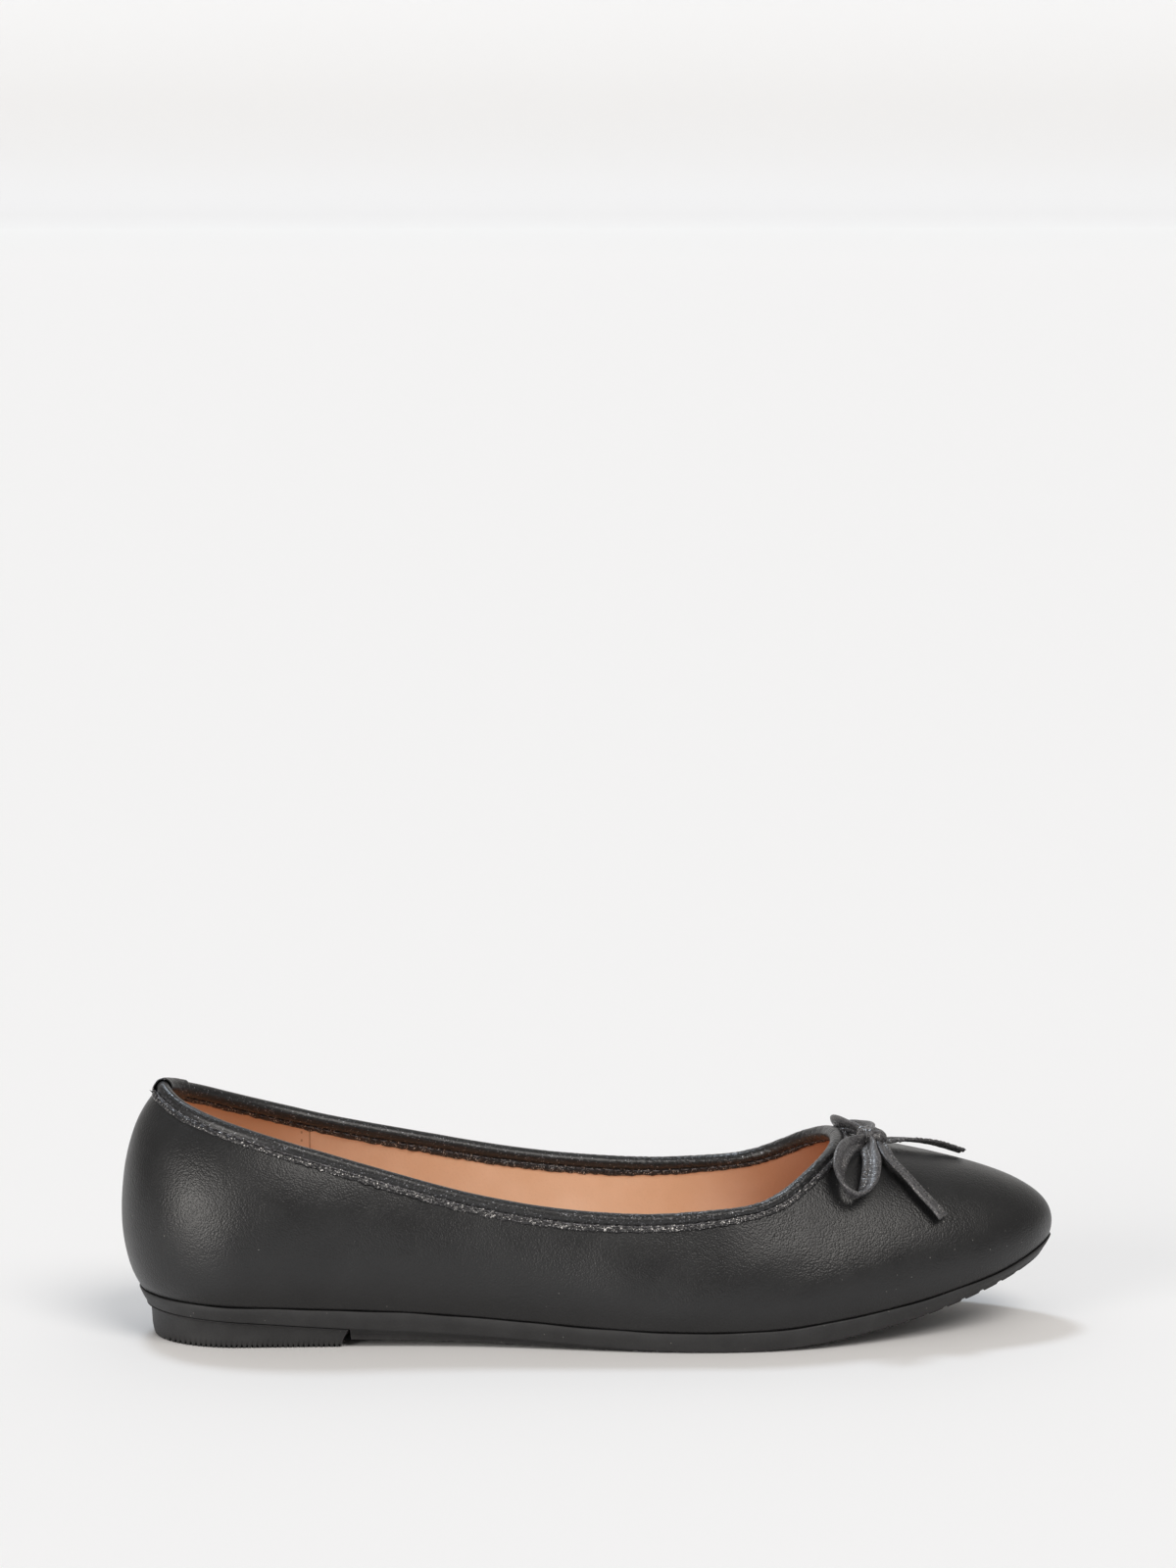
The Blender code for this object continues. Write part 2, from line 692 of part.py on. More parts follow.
def main():
    for item in list(bpy.data.objects):
        bpy.data.objects.remove(item, do_unlink=True)
    leather = colour("coated_leather_charcoal", 0.035, 0.035, 0.037, 0.55)
    rubber = colour("moulded_rubber_black", 0.045, 0.045, 0.045, 0.60)
    tape = colour("binding_tape_grey", 0.075, 0.072, 0.075, 0.60)
    lining = colour("lining_peach", 0.60, 0.30, 0.20, 0.70)
    make_outsole(rubber)
    make_heel(rubber)
    make_upper(leather)
    make_insole(lining)
    make_binding(tape)
    make_knot(tape)
    make_ribbon("bow_loop_lateral", LATERAL_LOOP, LOOP_LENGTH, LOOP_STATIONS, tape)
    make_ribbon("bow_loop_medial", MEDIAL_LOOP, LOOP_LENGTH, LOOP_STATIONS, tape)
    make_ribbon("bow_tail_lateral", LATERAL_TAIL, TAIL_LENGTH, TAIL_STATIONS, tape)
    make_ribbon("bow_tail_medial", MEDIAL_TAIL, TAIL_LENGTH, TAIL_STATIONS, tape)


main()
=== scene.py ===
"""The looks of a woman's ballet flat with a ribbon bow, for the right foot.

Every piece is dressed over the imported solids, in metres and in their frame: +X to the toe,
-Y to the outer (lateral) side, +Z up. The last, the sole and the topline are drawn from the
same sizes as the solids and cut much finer, then grained, gathered, stitched and creased.
"""

from math import cos, pi, radians, sin, sqrt

import bmesh
import bpy
import numpy as np
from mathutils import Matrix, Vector, noise


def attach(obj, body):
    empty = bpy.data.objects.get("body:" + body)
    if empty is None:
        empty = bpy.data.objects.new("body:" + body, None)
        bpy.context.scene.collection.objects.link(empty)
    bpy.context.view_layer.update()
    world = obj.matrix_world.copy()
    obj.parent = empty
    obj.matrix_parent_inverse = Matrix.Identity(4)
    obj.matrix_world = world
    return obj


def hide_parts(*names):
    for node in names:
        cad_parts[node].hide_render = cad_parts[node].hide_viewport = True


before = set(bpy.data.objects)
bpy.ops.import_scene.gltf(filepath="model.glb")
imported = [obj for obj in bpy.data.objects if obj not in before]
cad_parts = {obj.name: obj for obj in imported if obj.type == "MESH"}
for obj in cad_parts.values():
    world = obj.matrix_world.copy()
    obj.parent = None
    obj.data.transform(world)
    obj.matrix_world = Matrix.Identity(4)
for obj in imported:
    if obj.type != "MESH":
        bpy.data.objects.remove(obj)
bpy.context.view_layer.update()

MM = 0.001

# Sizes of the sole
SOLE_LENGTH = 0.2443
HALF_BALL = 0.0385
SOLE_THICKNESS = 0.0056
SOLE_PROUD = 0.0004
HEEL_HEIGHT = 0.0062
HEEL_LENGTH = 0.0556
WAIST_LIFT = 0.0021
TOE_SPRING = 0.0187
BAND_FLARE = 0.0018
BAND_STEP = 0.0007
TREAD_TAPER = 0.0008
HEEL_STEP = 0.0013
HEEL_CHAMFER = 0.0012
BREAST_SLANT = 0.0020

# Sizes of the upper
UPPER_WALL = 0.0016
MARGIN_WIDTH = 0.0070
BACK_HEIGHT = 0.0537
COLLAR_LENGTH = 0.1820
COLLAR_SETBACK = 0.0052
HEEL_BULGE = 0.0042
TOE_PROUD = 0.0007
SWEEP = radians(14)

# Where the lining's two pieces meet
SEAM_PLACE = -0.0752

# Sizes of the insole, the binding and the bow
INSOLE_THICKNESS = 0.0025
INSOLE_INSET = 0.0033
BINDING_ROLL = 0.0038
BINDING_HEIGHT = 0.0057
BINDING_LIFT = 0.0009
GAP = 0.0003
RIBBON_WIDTH = 0.0050
KNOT_SETBACK = 0.0075
KNOT_ASIDE = -0.0050
KNOT_LENGTH = 0.0076
KNOT_WIDTH = 0.0060
KNOT_HEIGHT = 0.0044
LOOP_LENGTH = 0.0240
TAIL_LENGTH = 0.0270

OVERALL_LENGTH = HEEL_BULGE + SOLE_LENGTH + TOE_PROUD
FEATHER_BACK = -OVERALL_LENGTH / 2 + HEEL_BULGE
HEEL_BREAST = HEEL_LENGTH / SOLE_LENGTH

# The last: outline, sole's top, band, topline, collar height and wall sweep, as shares of
# the sizes above, with the same rows as the solids have.
OUTLINE = (
    # length, middle, half width
    (0.00, -0.02, 0.680),
    (0.12, -0.02, 0.695),
    (0.25, -0.04, 0.675),
    (0.40, -0.085, 0.707),
    (0.52, -0.097, 0.838),
    (0.63, -0.036, 0.958),
    (0.73, 0.032, 0.970),
    (0.82, 0.100, 0.946),
    (0.92, 0.130, 0.935),
    (1.00, 0.140, 0.935),
)
HEEL_CAP = (0.115, 2.1)
TOE_CAP = (0.300, 1.85)
SOLE_TOP = (
    # length, lift, thickness
    (0.00, 1.190, 0.950),
    (0.05, 1.105, 0.920),
    (0.13, 0.990, 0.900),
    (0.22, 0.857, 0.900),
    (0.30, 0.700, 0.920),
    (0.38, 0.460, 0.950),
    (0.46, 0.220, 0.975),
    (0.53, 0.060, 0.985),
    (0.59, 0.000, 0.985),
    (0.66, 0.000, 1.000),
    (0.73, 0.000, 1.050),
    (0.80, 0.000, 0.980),
    (0.86, 0.000, 0.840),
    (0.91, 0.000, 0.715),
    (0.95, 0.000, 0.630),
    (1.00, 0.000, 0.720),
)
FLAT_START = 0.585
SPRING_START = 0.652
SPRING_POWER = 1.9
BAND = (
    # length, band
    (0.00, 0.70),
    (0.11, 0.74),
    (0.22, 0.90),
    (0.40, 0.88),
    (0.58, 0.90),
    (0.72, 0.93),
    (0.80, 0.84),
    (0.86, 0.70),
    (0.92, 0.50),
    (1.00, 0.50),
)
TOPLINE = (
    # length, middle, half width
    (0.00, -0.02, 0.600),
    (0.20, -0.02, 0.625),
    (0.40, -0.013, 0.730),
    (0.55, -0.013, 0.836),
    (0.70, -0.005, 0.900),
    (0.82, 0.010, 0.915),
    (1.00, 0.050, 0.910),
)
BACK_CAP = (0.200, 1.8)
THROAT_CAP = (0.225, 2.25)
COLLAR_HEIGHT = (
    # length, lateral, medial
    (0.00, 0.990, 0.990),
    (0.02, 0.945, 0.970),
    (0.05, 0.903, 0.938),
    (0.13, 0.828, 0.855),
    (0.27, 0.706, 0.744),
    (0.41, 0.596, 0.660),
    (0.55, 0.540, 0.598),
    (0.65, 0.532, 0.580),
    (0.75, 0.545, 0.580),
    (0.83, 0.572, 0.597),
    (0.90, 0.618, 0.640),
    (0.96, 0.727, 0.730),
    (1.00, 0.795, 0.795),
)
WALL_SWEEP = (
    # length, lower out, lower up, upper slide, upper down, upper out
    (0.00, 1.80, 0.175, 0.33, 0.210, 2.50),
    (0.07, 1.65, 0.190, 0.33, 0.225, 2.10),
    (0.25, 1.05, 0.260, 0.33, 0.300, 1.20),
    (0.50, 0.85, 0.310, 0.33, 0.350, 0.65),
    (0.75, 0.90, 0.300, 0.36, 0.290, 0.60),
    (0.90, 1.20, 0.270, 0.42, 0.150, 0.30),
    (1.00, 1.40, 0.265, 0.46, 0.095, 0.00),
)

# The ribbons' ways over the vamp, from inside the knot: shares of the loop's or the tail's
# length forwards and sideways, the height of the middle as a share of the ribbon's width,
# the turn up on its edge in degrees, and how much of its width is left by the pull of the knot.
LATERAL_LOOP = (
    # forward, sideways, rise, turn, width
    (0.000, -0.020, 0.42, -80, 0.50),
    (-0.110, -0.140, 0.44, -80, 0.60),
    (-0.160, -0.250, 0.47, -55, 0.84),
    (-0.275, -0.380, 0.54, -30, 0.97),
    (-0.380, -0.555, 0.72, -20, 1.00),
    (-0.460, -0.735, 0.84, -25, 1.00),
    (-0.465, -0.860, 0.92, -50, 1.00),
    (-0.390, -0.930, 0.97, -80, 1.00),
    (-0.265, -0.920, 0.97, -80, 1.00),
    (-0.175, -0.835, 0.92, -50, 1.00),
    (-0.115, -0.720, 0.84, -25, 1.00),
    (-0.080, -0.545, 0.72, -20, 1.00),
    (-0.080, -0.400, 0.56, -30, 0.92),
    (-0.055, -0.250, 0.48, -55, 0.80),
    (-0.035, -0.140, 0.46, -80, 0.60),
    (0.010, -0.020, 0.42, -80, 0.50),
)
MEDIAL_LOOP = (
    # forward, sideways, rise, turn, width
    (-0.010, 0.020, 0.42, 80, 0.62),
    (-0.110, 0.140, 0.42, 76, 0.76),
    (-0.145, 0.260, 0.43, 50, 0.92),
    (-0.200, 0.450, 0.51, 30, 0.92),
    (-0.280, 0.640, 0.56, 36, 0.88),
    (-0.338, 0.790, 0.58, 50, 0.80),
    (-0.330, 0.880, 0.55, 66, 0.70),
    (-0.275, 0.930, 0.54, 78, 0.70),
    (-0.175, 0.875, 0.59, 78, 0.82),
    (-0.070, 0.730, 0.50, 72, 0.90),
    (-0.005, 0.540, 0.46, 70, 0.92),
    (0.020, 0.330, 0.44, 72, 0.90),
    (-0.010, 0.140, 0.41, 80, 0.80),
    (0.010, 0.020, 0.42, 80, 0.62),
)
LATERAL_TAIL = (
    # forward, sideways, rise, turn, width
    (0.020, -0.010, 0.42, 0, 0.60),
    (0.095, -0.135, 0.39, 0, 0.70),
    (0.135, -0.335, 0.41, -10, 0.86),
    (0.270, -0.485, 0.45, -22, 0.86),
    (0.405, -0.590, 0.47, -24, 0.86),
    (0.530, -0.650, 0.47, -24, 0.86),
    (0.625, -0.690, 0.47, -24, 0.86),
)
MEDIAL_TAIL = (
    # forward, sideways, rise, turn, width
    (0.060, 0.020, 0.38, 0, 0.60),
    (0.155, 0.060, 0.35, 0, 0.70),
    (0.330, 0.150, 0.47, -14, 0.80),
    (0.565, 0.240, 0.55, -20, 0.80),
    (0.750, 0.330, 0.49, -20, 0.80),
    (0.870, 0.395, 0.42, -16, 0.80),
    (0.950, 0.435, 0.38, -14, 0.80),
)

# Soft troughs and ridges in the upper, placed one by one. The side is -1 lateral and +1
# medial; length is a share of the sole's length and rise a share of the wall's height;
# reach and width are in mm, the slant in degrees from upright, the depth in mm.
CREASES = (
    # side, length, rise, reach, width, slant, depth
    (-1, 0.215, 0.55, 16.0, 7.0, 12, 0.28),
    (-1, 0.160, 0.84, 6.0, 2.4, 24, 0.16),
    (-1, 0.190, 0.86, 6.0, 2.2, 28, 0.14),
    (-1, 0.235, 0.84, 5.0, 2.4, 22, 0.12),
    (-1, 0.620, 0.55, 20.0, 7.0, 58, 0.30),
    (-1, 0.700, 0.38, 22.0, 6.5, 66, 0.26),
    (-1, 0.560, 0.40, 14.0, 8.0, 40, 0.18),
    (-1, 0.800, 0.22, 18.0, 5.0, 74, 0.14),
    (1, 0.215, 0.55, 16.0, 7.0, -12, 0.28),
    (1, 0.170, 0.85, 6.0, 2.4, -24, 0.16),
    (1, 0.205, 0.86, 6.0, 2.2, -26, 0.14),
    (1, 0.600, 0.55, 20.0, 7.0, -56, 0.28),
    (1, 0.690, 0.40, 20.0, 6.5, -64, 0.24),
    (1, 0.450, 0.45, 15.0, 9.0, -30, 0.20),
)


# The last's surfaces

def through(table, column, share):
    """Reads one column of a table between its rows, along a smooth curve through them."""
    rows = np.array(table, dtype=float)
    at, value = rows[:, 0], rows[:, column]
    step = np.diff(at)
    rise = np.diff(value) / step
    count = len(at)
    system = np.zeros((count, count))
    right = np.zeros(count)
    system[0, :2] = 2, 1
    system[-1, -2:] = 1, 2
    right[0] = 3 * rise[0]
    right[-1] = 3 * rise[-1]
    for row in range(1, count - 1):
        before, after = 1 / step[row - 1], 1 / step[row]
        system[row, row - 1:row + 2] = before, 2 * (before + after), after
        right[row] = 3 * (rise[row - 1] * before + rise[row] * after)
    slope = np.linalg.solve(system, right)
    share = np.asarray(share, dtype=float)
    row = np.clip(np.searchsorted(at, share) - 1, 0, count - 2)
    part = (share - at[row]) / step[row]
    rest = 1 - part
    return (rest ** 2 * (1 + 2 * part) * value[row] + part ** 2 * (1 + 2 * rest) * value[row + 1]
            + part * rest * step[row] * (rest * slope[row] - part * slope[row + 1]))


def round_end(share, cap):
    """Brings a half width to nothing at an end, over the cap's length, as an oval does."""
    length, power = cap
    left = np.clip(1 - share / length, 0, 1)
    return (1 - left ** power) ** (1 / power)


def run(angle):
    """Share of the length from the back to the front, for an angle round the loop."""
    return (1 - np.cos(angle)) / 2


def side_of(angle):
    """-1 on the lateral half of the loop, +1 on the medial half."""
    return np.where(np.mod(angle, 2 * pi) < pi, -1.0, 1.0)


def sole_share(x):
    return np.clip((x - FEATHER_BACK) / SOLE_LENGTH, 0, 1)


def toe_spring(share):
    part = np.clip((share - SPRING_START) / (1 - SPRING_START), 0, 1)
    return TOE_SPRING * part ** SPRING_POWER


def sole_top(x):
    """Height of the sole's top face."""
    share = sole_share(x)
    lift = HEEL_HEIGHT * through(SOLE_TOP, 1, share)
    thickness = SOLE_THICKNESS * through(SOLE_TOP, 2, share)
    return lift + thickness + toe_spring(share)


def sole_underside(x):
    """Height of the tread in front of the heel: waist, flat under the ball, toe spring."""
    share = sole_share(x)
    part = np.clip((FLAT_START - share) / (FLAT_START - HEEL_BREAST), 0, 1)
    return WAIST_LIFT * part ** 2 * (3 - 2 * part) + toe_spring(share)


def band_foot(x):
    """Height of the edge band's lower edge."""
    return sole_top(x) - SOLE_THICKNESS * through(BAND, 1, sole_share(x))


def plan_normal(line, angle, step=0.004):
    """Outward unit normal of a loop that starts at the back and runs along the lateral side."""
    way = line(angle + step) - line(angle - step)
    way /= np.linalg.norm(way, axis=-1, keepdims=True)
    return np.stack([way[..., 1], -way[..., 0]], axis=-1)


def outline(angle, outwards=0.0):
    """The feather line from above, moved outwards along its own normal."""
    def bare(angle):
        share = run(angle)
        half = through(OUTLINE, 2, share) * round_end(share, HEEL_CAP) * round_end(1 - share, TOE_CAP)
        y = HALF_BALL * (through(OUTLINE, 1, share) + side_of(angle) * half)
        return np.stack([FEATHER_BACK + SOLE_LENGTH * share, y], axis=-1)
    return bare(angle) + outwards * plan_normal(bare, angle)


def feather(angle):
    """Where the wall's outer face leaves the sole."""
    plan = outline(angle)
    return np.concatenate([plan, sole_top(plan[..., :1]) + GAP], axis=-1)


def topline(angle):
    """The outer corner of the wall's cut edge round the collar."""
    share = run(angle)
    half = through(TOPLINE, 2, share) * round_end(share, BACK_CAP) * round_end(1 - share, THROAT_CAP)
    x = FEATHER_BACK + COLLAR_SETBACK + COLLAR_LENGTH * share
    y = HALF_BALL * (through(TOPLINE, 1, share) + side_of(angle) * half)
    lateral, medial = through(COLLAR_HEIGHT, 1, share), through(COLLAR_HEIGHT, 2, share)
    height = BACK_HEIGHT * np.where(side_of(angle) < 0, lateral, medial)
    return np.stack([x, y, sole_top(x) + height], axis=-1)


def collar_angle(angle):
    """The angle on the topline that a ray from the feather line rises to."""
    return angle - side_of(angle) * SWEEP * np.sin(angle) ** 2


def wall(angle, rise):
    """The wall's outer face: angle round the shoe, and rise from 0 at the sole to 1 at the edge."""
    angle, rise = np.broadcast_arrays(np.asarray(angle, dtype=float), np.asarray(rise, dtype=float))
    share = run(angle)
    low, high = feather(angle), topline(collar_angle(angle))
    way = high - low
    reach = np.linalg.norm(way, axis=-1)
    level = way * (1, 1, 0)
    low_out = np.concatenate([plan_normal(outline, angle), np.zeros(angle.shape + (1,))], axis=-1)
    high_out = plan_normal(lambda turn: topline(turn)[..., :2], collar_angle(angle))
    high_out = np.concatenate([high_out, np.zeros(angle.shape + (1,))], axis=-1)
    column = [through(WALL_SWEEP, index, share)[..., None] for index in range(1, 6)]
    lower_out, lower_up, upper_slide, upper_down, upper_out = column
    up = np.array([0.0, 0.0, 1.0])
    reach = reach[..., None]
    leave = low + low_out * HEEL_BULGE * lower_out + up * reach * lower_up
    arrive = high - level * upper_slide + high_out * HEEL_BULGE * upper_out - up * reach * upper_down
    part = rise[..., None]
    rest = 1 - part
    return rest ** 3 * low + 3 * rest ** 2 * part * leave + 3 * rest * part ** 2 * arrive + part ** 3 * high


def wall_normal(angle, rise, step=0.004):
    """Outward unit normal of the wall's outer face."""
    angle, rise = np.broadcast_arrays(np.asarray(angle, dtype=float), np.asarray(rise, dtype=float))
    round_way = wall(angle + step, rise) - wall(angle - step, rise)
    above, below = np.clip(rise + step, 0, 1), np.clip(rise - step, 0, 1)
    up_way = wall(angle, above) - wall(angle, below)
    normal = np.cross(round_way, up_way)
    return normal / np.linalg.norm(normal, axis=-1, keepdims=True)


def vamp_seat(x, y):
    """The place on the vamp's outer face straight above a point in plan, and its normal."""
    angles = np.linspace(pi / 2, 3 * pi / 2, 61)[:, None]
    rises = np.linspace(0.2, 1, 25)[None, :]
    places = wall(angles, rises)
    near = np.argmin((places[..., 0] - x) ** 2 + (places[..., 1] - y) ** 2)
    index = np.unravel_index(near, places.shape[:2])
    angle, rise = angles[index[0], 0], rises[0, index[1]]
    step = 0.002
    for _ in range(6):
        here = wall(angle, rise)[:2]
        by_angle = (wall(angle + step, rise)[:2] - here) / step
        by_rise = (wall(angle, rise - step)[:2] - here) / -step
        move = np.linalg.solve(np.stack([by_angle, by_rise], axis=1), np.array([x, y]) - here)
        angle = angle + np.clip(move[0], -0.2, 0.2)
        rise = np.clip(rise + np.clip(move[1], -0.2, 0.2), step, 1.0)
    return wall(angle, rise), wall_normal(angle, rise)


def edge_frame(angle, step=1 / 12):
    """Middle of the wall's cut edge, the way out of the wall, and the way up along it."""
    outwards = wall_normal(angle, 1.0)
    middle = wall(angle, 1.0) - outwards * UPPER_WALL / 2
    upwards = wall(angle, 1.0) - wall(angle, 1.0 - step)
    upwards /= np.linalg.norm(upwards, axis=-1, keepdims=True)
    return middle, outwards, upwards


# Making meshes

def ripple(places, size, seed=0.0):
    """Smooth noise between -1 and 1 at each place, its swells about that size apart."""
    flat = np.asarray(places, dtype=float).reshape(-1, 3) / size + seed
    values = [noise.noise(Vector(place)) for place in flat]
    return np.array(values).reshape(np.shape(places)[:-1])


def crumple(places, size, deep):
    """Pushes places about by small noise in all three directions, as a crushed tape has."""
    return places + deep * np.stack([ripple(places, size, seed) for seed in (1.0, 4.0, 9.0)], axis=-1)


def net(name, places, finishes, finish_of=None, round_rows=False, round_columns=False):
    """A mesh from a net of places, closed round its rows or its columns where that is asked."""
    rows, columns = places.shape[:2]
    number = np.arange(rows * columns).reshape(rows, columns)
    row_ends = np.arange(rows if round_rows else rows - 1)
    column_ends = np.arange(columns if round_columns else columns - 1)
    r, c = np.meshgrid(row_ends, column_ends, indexing="ij")
    r_next, c_next = (r + 1) % rows, (c + 1) % columns
    faces = np.stack([number[r, c], number[r_next, c], number[r_next, c_next], number[r, c_next]], axis=-1)
    mesh = bpy.data.meshes.new(name)
    mesh.from_pydata(places.reshape(-1, 3).tolist(), [], faces.reshape(-1, 4).tolist())
    return dress(name, mesh, finishes, None if finish_of is None else finish_of(r, c).reshape(-1))


def with_ends(places):
    """A tube's net of places with a middle point added at each end, so that it closes there."""
    first, last = (np.repeat(row.mean(axis=1, keepdims=True), places.shape[1], axis=1)
                   for row in (places[:1], places[-1:]))
    return np.concatenate([first, places, last])


def dress(name, mesh, finishes, slots=None):
    """Closes up doubled points, turns the faces outwards and hangs the finishes on them."""
    for finish in finishes:
        mesh.materials.append(finish)
    if slots is not None:
        mesh.polygons.foreach_set("material_index", np.asarray(slots, dtype=np.int32))
    bm = bmesh.new()
    bm.from_mesh(mesh)
    bmesh.ops.remove_doubles(bm, verts=bm.verts, dist=0.000002)
    bmesh.ops.recalc_face_normals(bm, faces=bm.faces)
    bm.to_mesh(mesh)
    bm.free()
    mesh.shade_smooth()
    piece = bpy.data.objects.new(name, mesh)
    bpy.context.scene.collection.objects.link(piece)
    return piece


def settle(piece, slot, *nodes):
    """The piece goes with the shoe and stands for these solids, which it hides. Its slot is not used."""
    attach(piece, "root")
    if nodes:
        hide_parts(*nodes)


# Materials

def linear(code):
    """An sRGB hex colour as linear red, green, blue and alpha."""
    parts = [int(code[index:index + 2], 16) / 255 for index in (1, 3, 5)]
    return tuple(p / 12.92 if p <= 0.04045 else ((p + 0.055) / 1.055) ** 2.4 for p in parts) + (1.0,)


def add(tree, kind, links=(), sockets=(), **settings):
    """Adds a node: settings on the node, values on its sockets, and links into its sockets."""
    made = tree.nodes.new(kind)
    for name, value in settings.items():
        setattr(made, name, value)
    for name, value in dict(sockets).items():
        made.inputs[name].default_value = value
    for name, source in dict(links).items():
        tree.links.new(source, made.inputs[name])
    return made


def new_finish(name):
    """An empty material with its shader and the place on the object in metres."""
    finish = bpy.data.materials.new(name)
    finish.use_nodes = True
    tree = finish.node_tree
    place = add(tree, "ShaderNodeTexCoord").outputs["Object"]
    return finish, tree, tree.nodes["Principled BSDF"], place


def mottle(tree, place, size, detail=3.0):
    """Cloudy noise with swells of a size in metres."""
    return add(tree, "ShaderNodeTexNoise", {"Vector": place},
               {"Scale": 1 / size, "Detail": detail}).outputs["Fac"]


def blend_colours(tree, share, first, second):
    """A colour between two, each a hex code or another node's colour."""
    mix = add(tree, "ShaderNodeMix", {"Factor": share}, data_type="RGBA")
    for index, colour in ((6, first), (7, second)):
        if isinstance(colour, str):
            mix.inputs[index].default_value = linear(colour)
        else:
            tree.links.new(colour, mix.inputs[index])
    return mix.outputs[2]


def between(tree, value, low, high, start=0.0, end=1.0):
    """Maps a value from a range to another one, and stops at its ends."""
    return add(tree, "ShaderNodeMapRange", {"Value": value},
               {"From Min": low, "From Max": high, "To Min": start, "To Max": end}).outputs["Result"]


def coated_leather():
    """Charcoal coated split leather: a film embossed with a fine pebble grain.

    The film is smooth between the pebbles, so it keeps a soft satin sheen that the grain
    breaks up, and it picks up pale dust that shows as single specks, more of them on the toe.
    """
    finish, tree, shader, place = new_finish("coated_leather_charcoal")
    bend = add(tree, "ShaderNodeTexNoise", {"Vector": place}, {"Scale": 1 / 0.0016, "Detail": 2.0})
    bend = add(tree, "ShaderNodeVectorMath", {0: bend.outputs["Color"]}, {"Scale": 0.0005},
               operation="SCALE")
    bent = add(tree, "ShaderNodeVectorMath", {0: place, 1: bend.outputs[0]}, operation="ADD").outputs[0]
    # The real pebbles are about 0.4 mm wide. They are drawn at 0.48 mm, so that they show.
    pebbles = add(tree, "ShaderNodeTexVoronoi", {"Vector": bent}, {"Scale": 1 / 0.00048, "Smoothness": 0.6},
                  feature="SMOOTH_F1").outputs["Distance"]
    cloud = mottle(tree, place, 0.011)
    height = add(tree, "ShaderNodeBump", {"Height": pebbles}, {"Strength": 1.0, "Distance": 0.000085},
                 invert=True)
    height = add(tree, "ShaderNodeBump", {"Height": cloud, "Normal": height.outputs["Normal"]},
                 {"Strength": 0.30, "Distance": 0.0005})
    # Dust about 0.35 mm wide: a speck every few centimetres, and closer together on the toe
    dust = add(tree, "ShaderNodeTexVoronoi", {"Vector": place}, {"Scale": 1 / 0.0062}).outputs["Distance"]
    dust = between(tree, dust, 0.018, 0.030, 1.0, 0.0)
    toe_dust = add(tree, "ShaderNodeTexVoronoi", {"Vector": place}, {"Scale": 1 / 0.0029})
    toe_dust = between(tree, toe_dust.outputs["Distance"], 0.035, 0.058, 1.0, 0.0)
    along = add(tree, "ShaderNodeSeparateXYZ", {"Vector": place}).outputs["X"]
    toe_dust = add(tree, "ShaderNodeMath", {0: toe_dust, 1: between(tree, along, 0.04, 0.09)},
                   operation="MULTIPLY").outputs[0]
    dust = add(tree, "ShaderNodeMath", {0: dust, 1: toe_dust}, operation="MAXIMUM").outputs[0]
    base = blend_colours(tree, between(tree, cloud, 0.35, 0.7), "#161617", "#1b1b1c")
    base = blend_colours(tree, dust, base, "#757370")
    tree.links.new(base, shader.inputs["Base Color"])
    tree.links.new(between(tree, cloud, 0.3, 0.7, 0.33, 0.42), shader.inputs["Roughness"])
    tree.links.new(height.outputs["Normal"], shader.inputs["Normal"])
    shader.inputs["IOR"].default_value = 1.5
    return finish


def glitter_tape(name, flecks, dark, ground, brightest_painted_flash, roughness):
    """Coated tape with a metallised thread in it: its dark and its ground grey, and its flecks.

    Short flat lengths of the thread show as metallic flecks, more of them where the tape is gathered.
    How much each one glints is painted into its colour as painted glint: most dim, a few bright flashes.
    The coating between them is satin.
    """
    finish, tree, shader, place = new_finish(name)
    # The thread shows for about 0.2 mm at a time, and it is drawn at 0.27 mm to show.
    cell = add(tree, "ShaderNodeTexVoronoi", {"Vector": place}, {"Scale": 1 / 0.00027})
    chance = add(tree, "ShaderNodeSeparateColor", {"Color": cell.outputs["Color"]})
    patch = mottle(tree, place, 0.0018)
    limit = between(tree, patch, 0.35, 0.65, 1.0 - flecks * 0.3, 1.0 - flecks * 1.7)
    fleck = add(tree, "ShaderNodeMath", {0: chance.outputs["Red"], 1: limit},
                operation="GREATER_THAN").outputs[0]
    # Painted glint: each fleck's colour runs from dim grey up to a bright painted flash, most of them dim.
    painted_flash = add(tree, "ShaderNodeMath", {0: chance.outputs["Blue"]}, {1: 3.0}, operation="POWER").outputs[0]
    knit = mottle(tree, place, 0.0006)
    base = blend_colours(tree, between(tree, knit, 0.3, 0.7), dark, ground)
    base = blend_colours(tree, fleck, base, blend_colours(tree, painted_flash, "#454446", brightest_painted_flash))
    tree.links.new(base, shader.inputs["Base Color"])
    tree.links.new(between(tree, fleck, 0, 1, 0.0, 0.70), shader.inputs["Metallic"])
    tree.links.new(between(tree, fleck, 0, 1, roughness, 0.36), shader.inputs["Roughness"])
    tilt = add(tree, "ShaderNodeBump", {"Height": chance.outputs["Green"]},
               {"Strength": 0.4, "Distance": 0.00008})
    tilt = add(tree, "ShaderNodeBump", {"Height": knit, "Normal": tilt.outputs["Normal"]},
               {"Strength": 0.6, "Distance": 0.00014})
    tree.links.new(tilt.outputs["Normal"], shader.inputs["Normal"])
    shader.inputs["IOR"].default_value = 1.5
    return finish


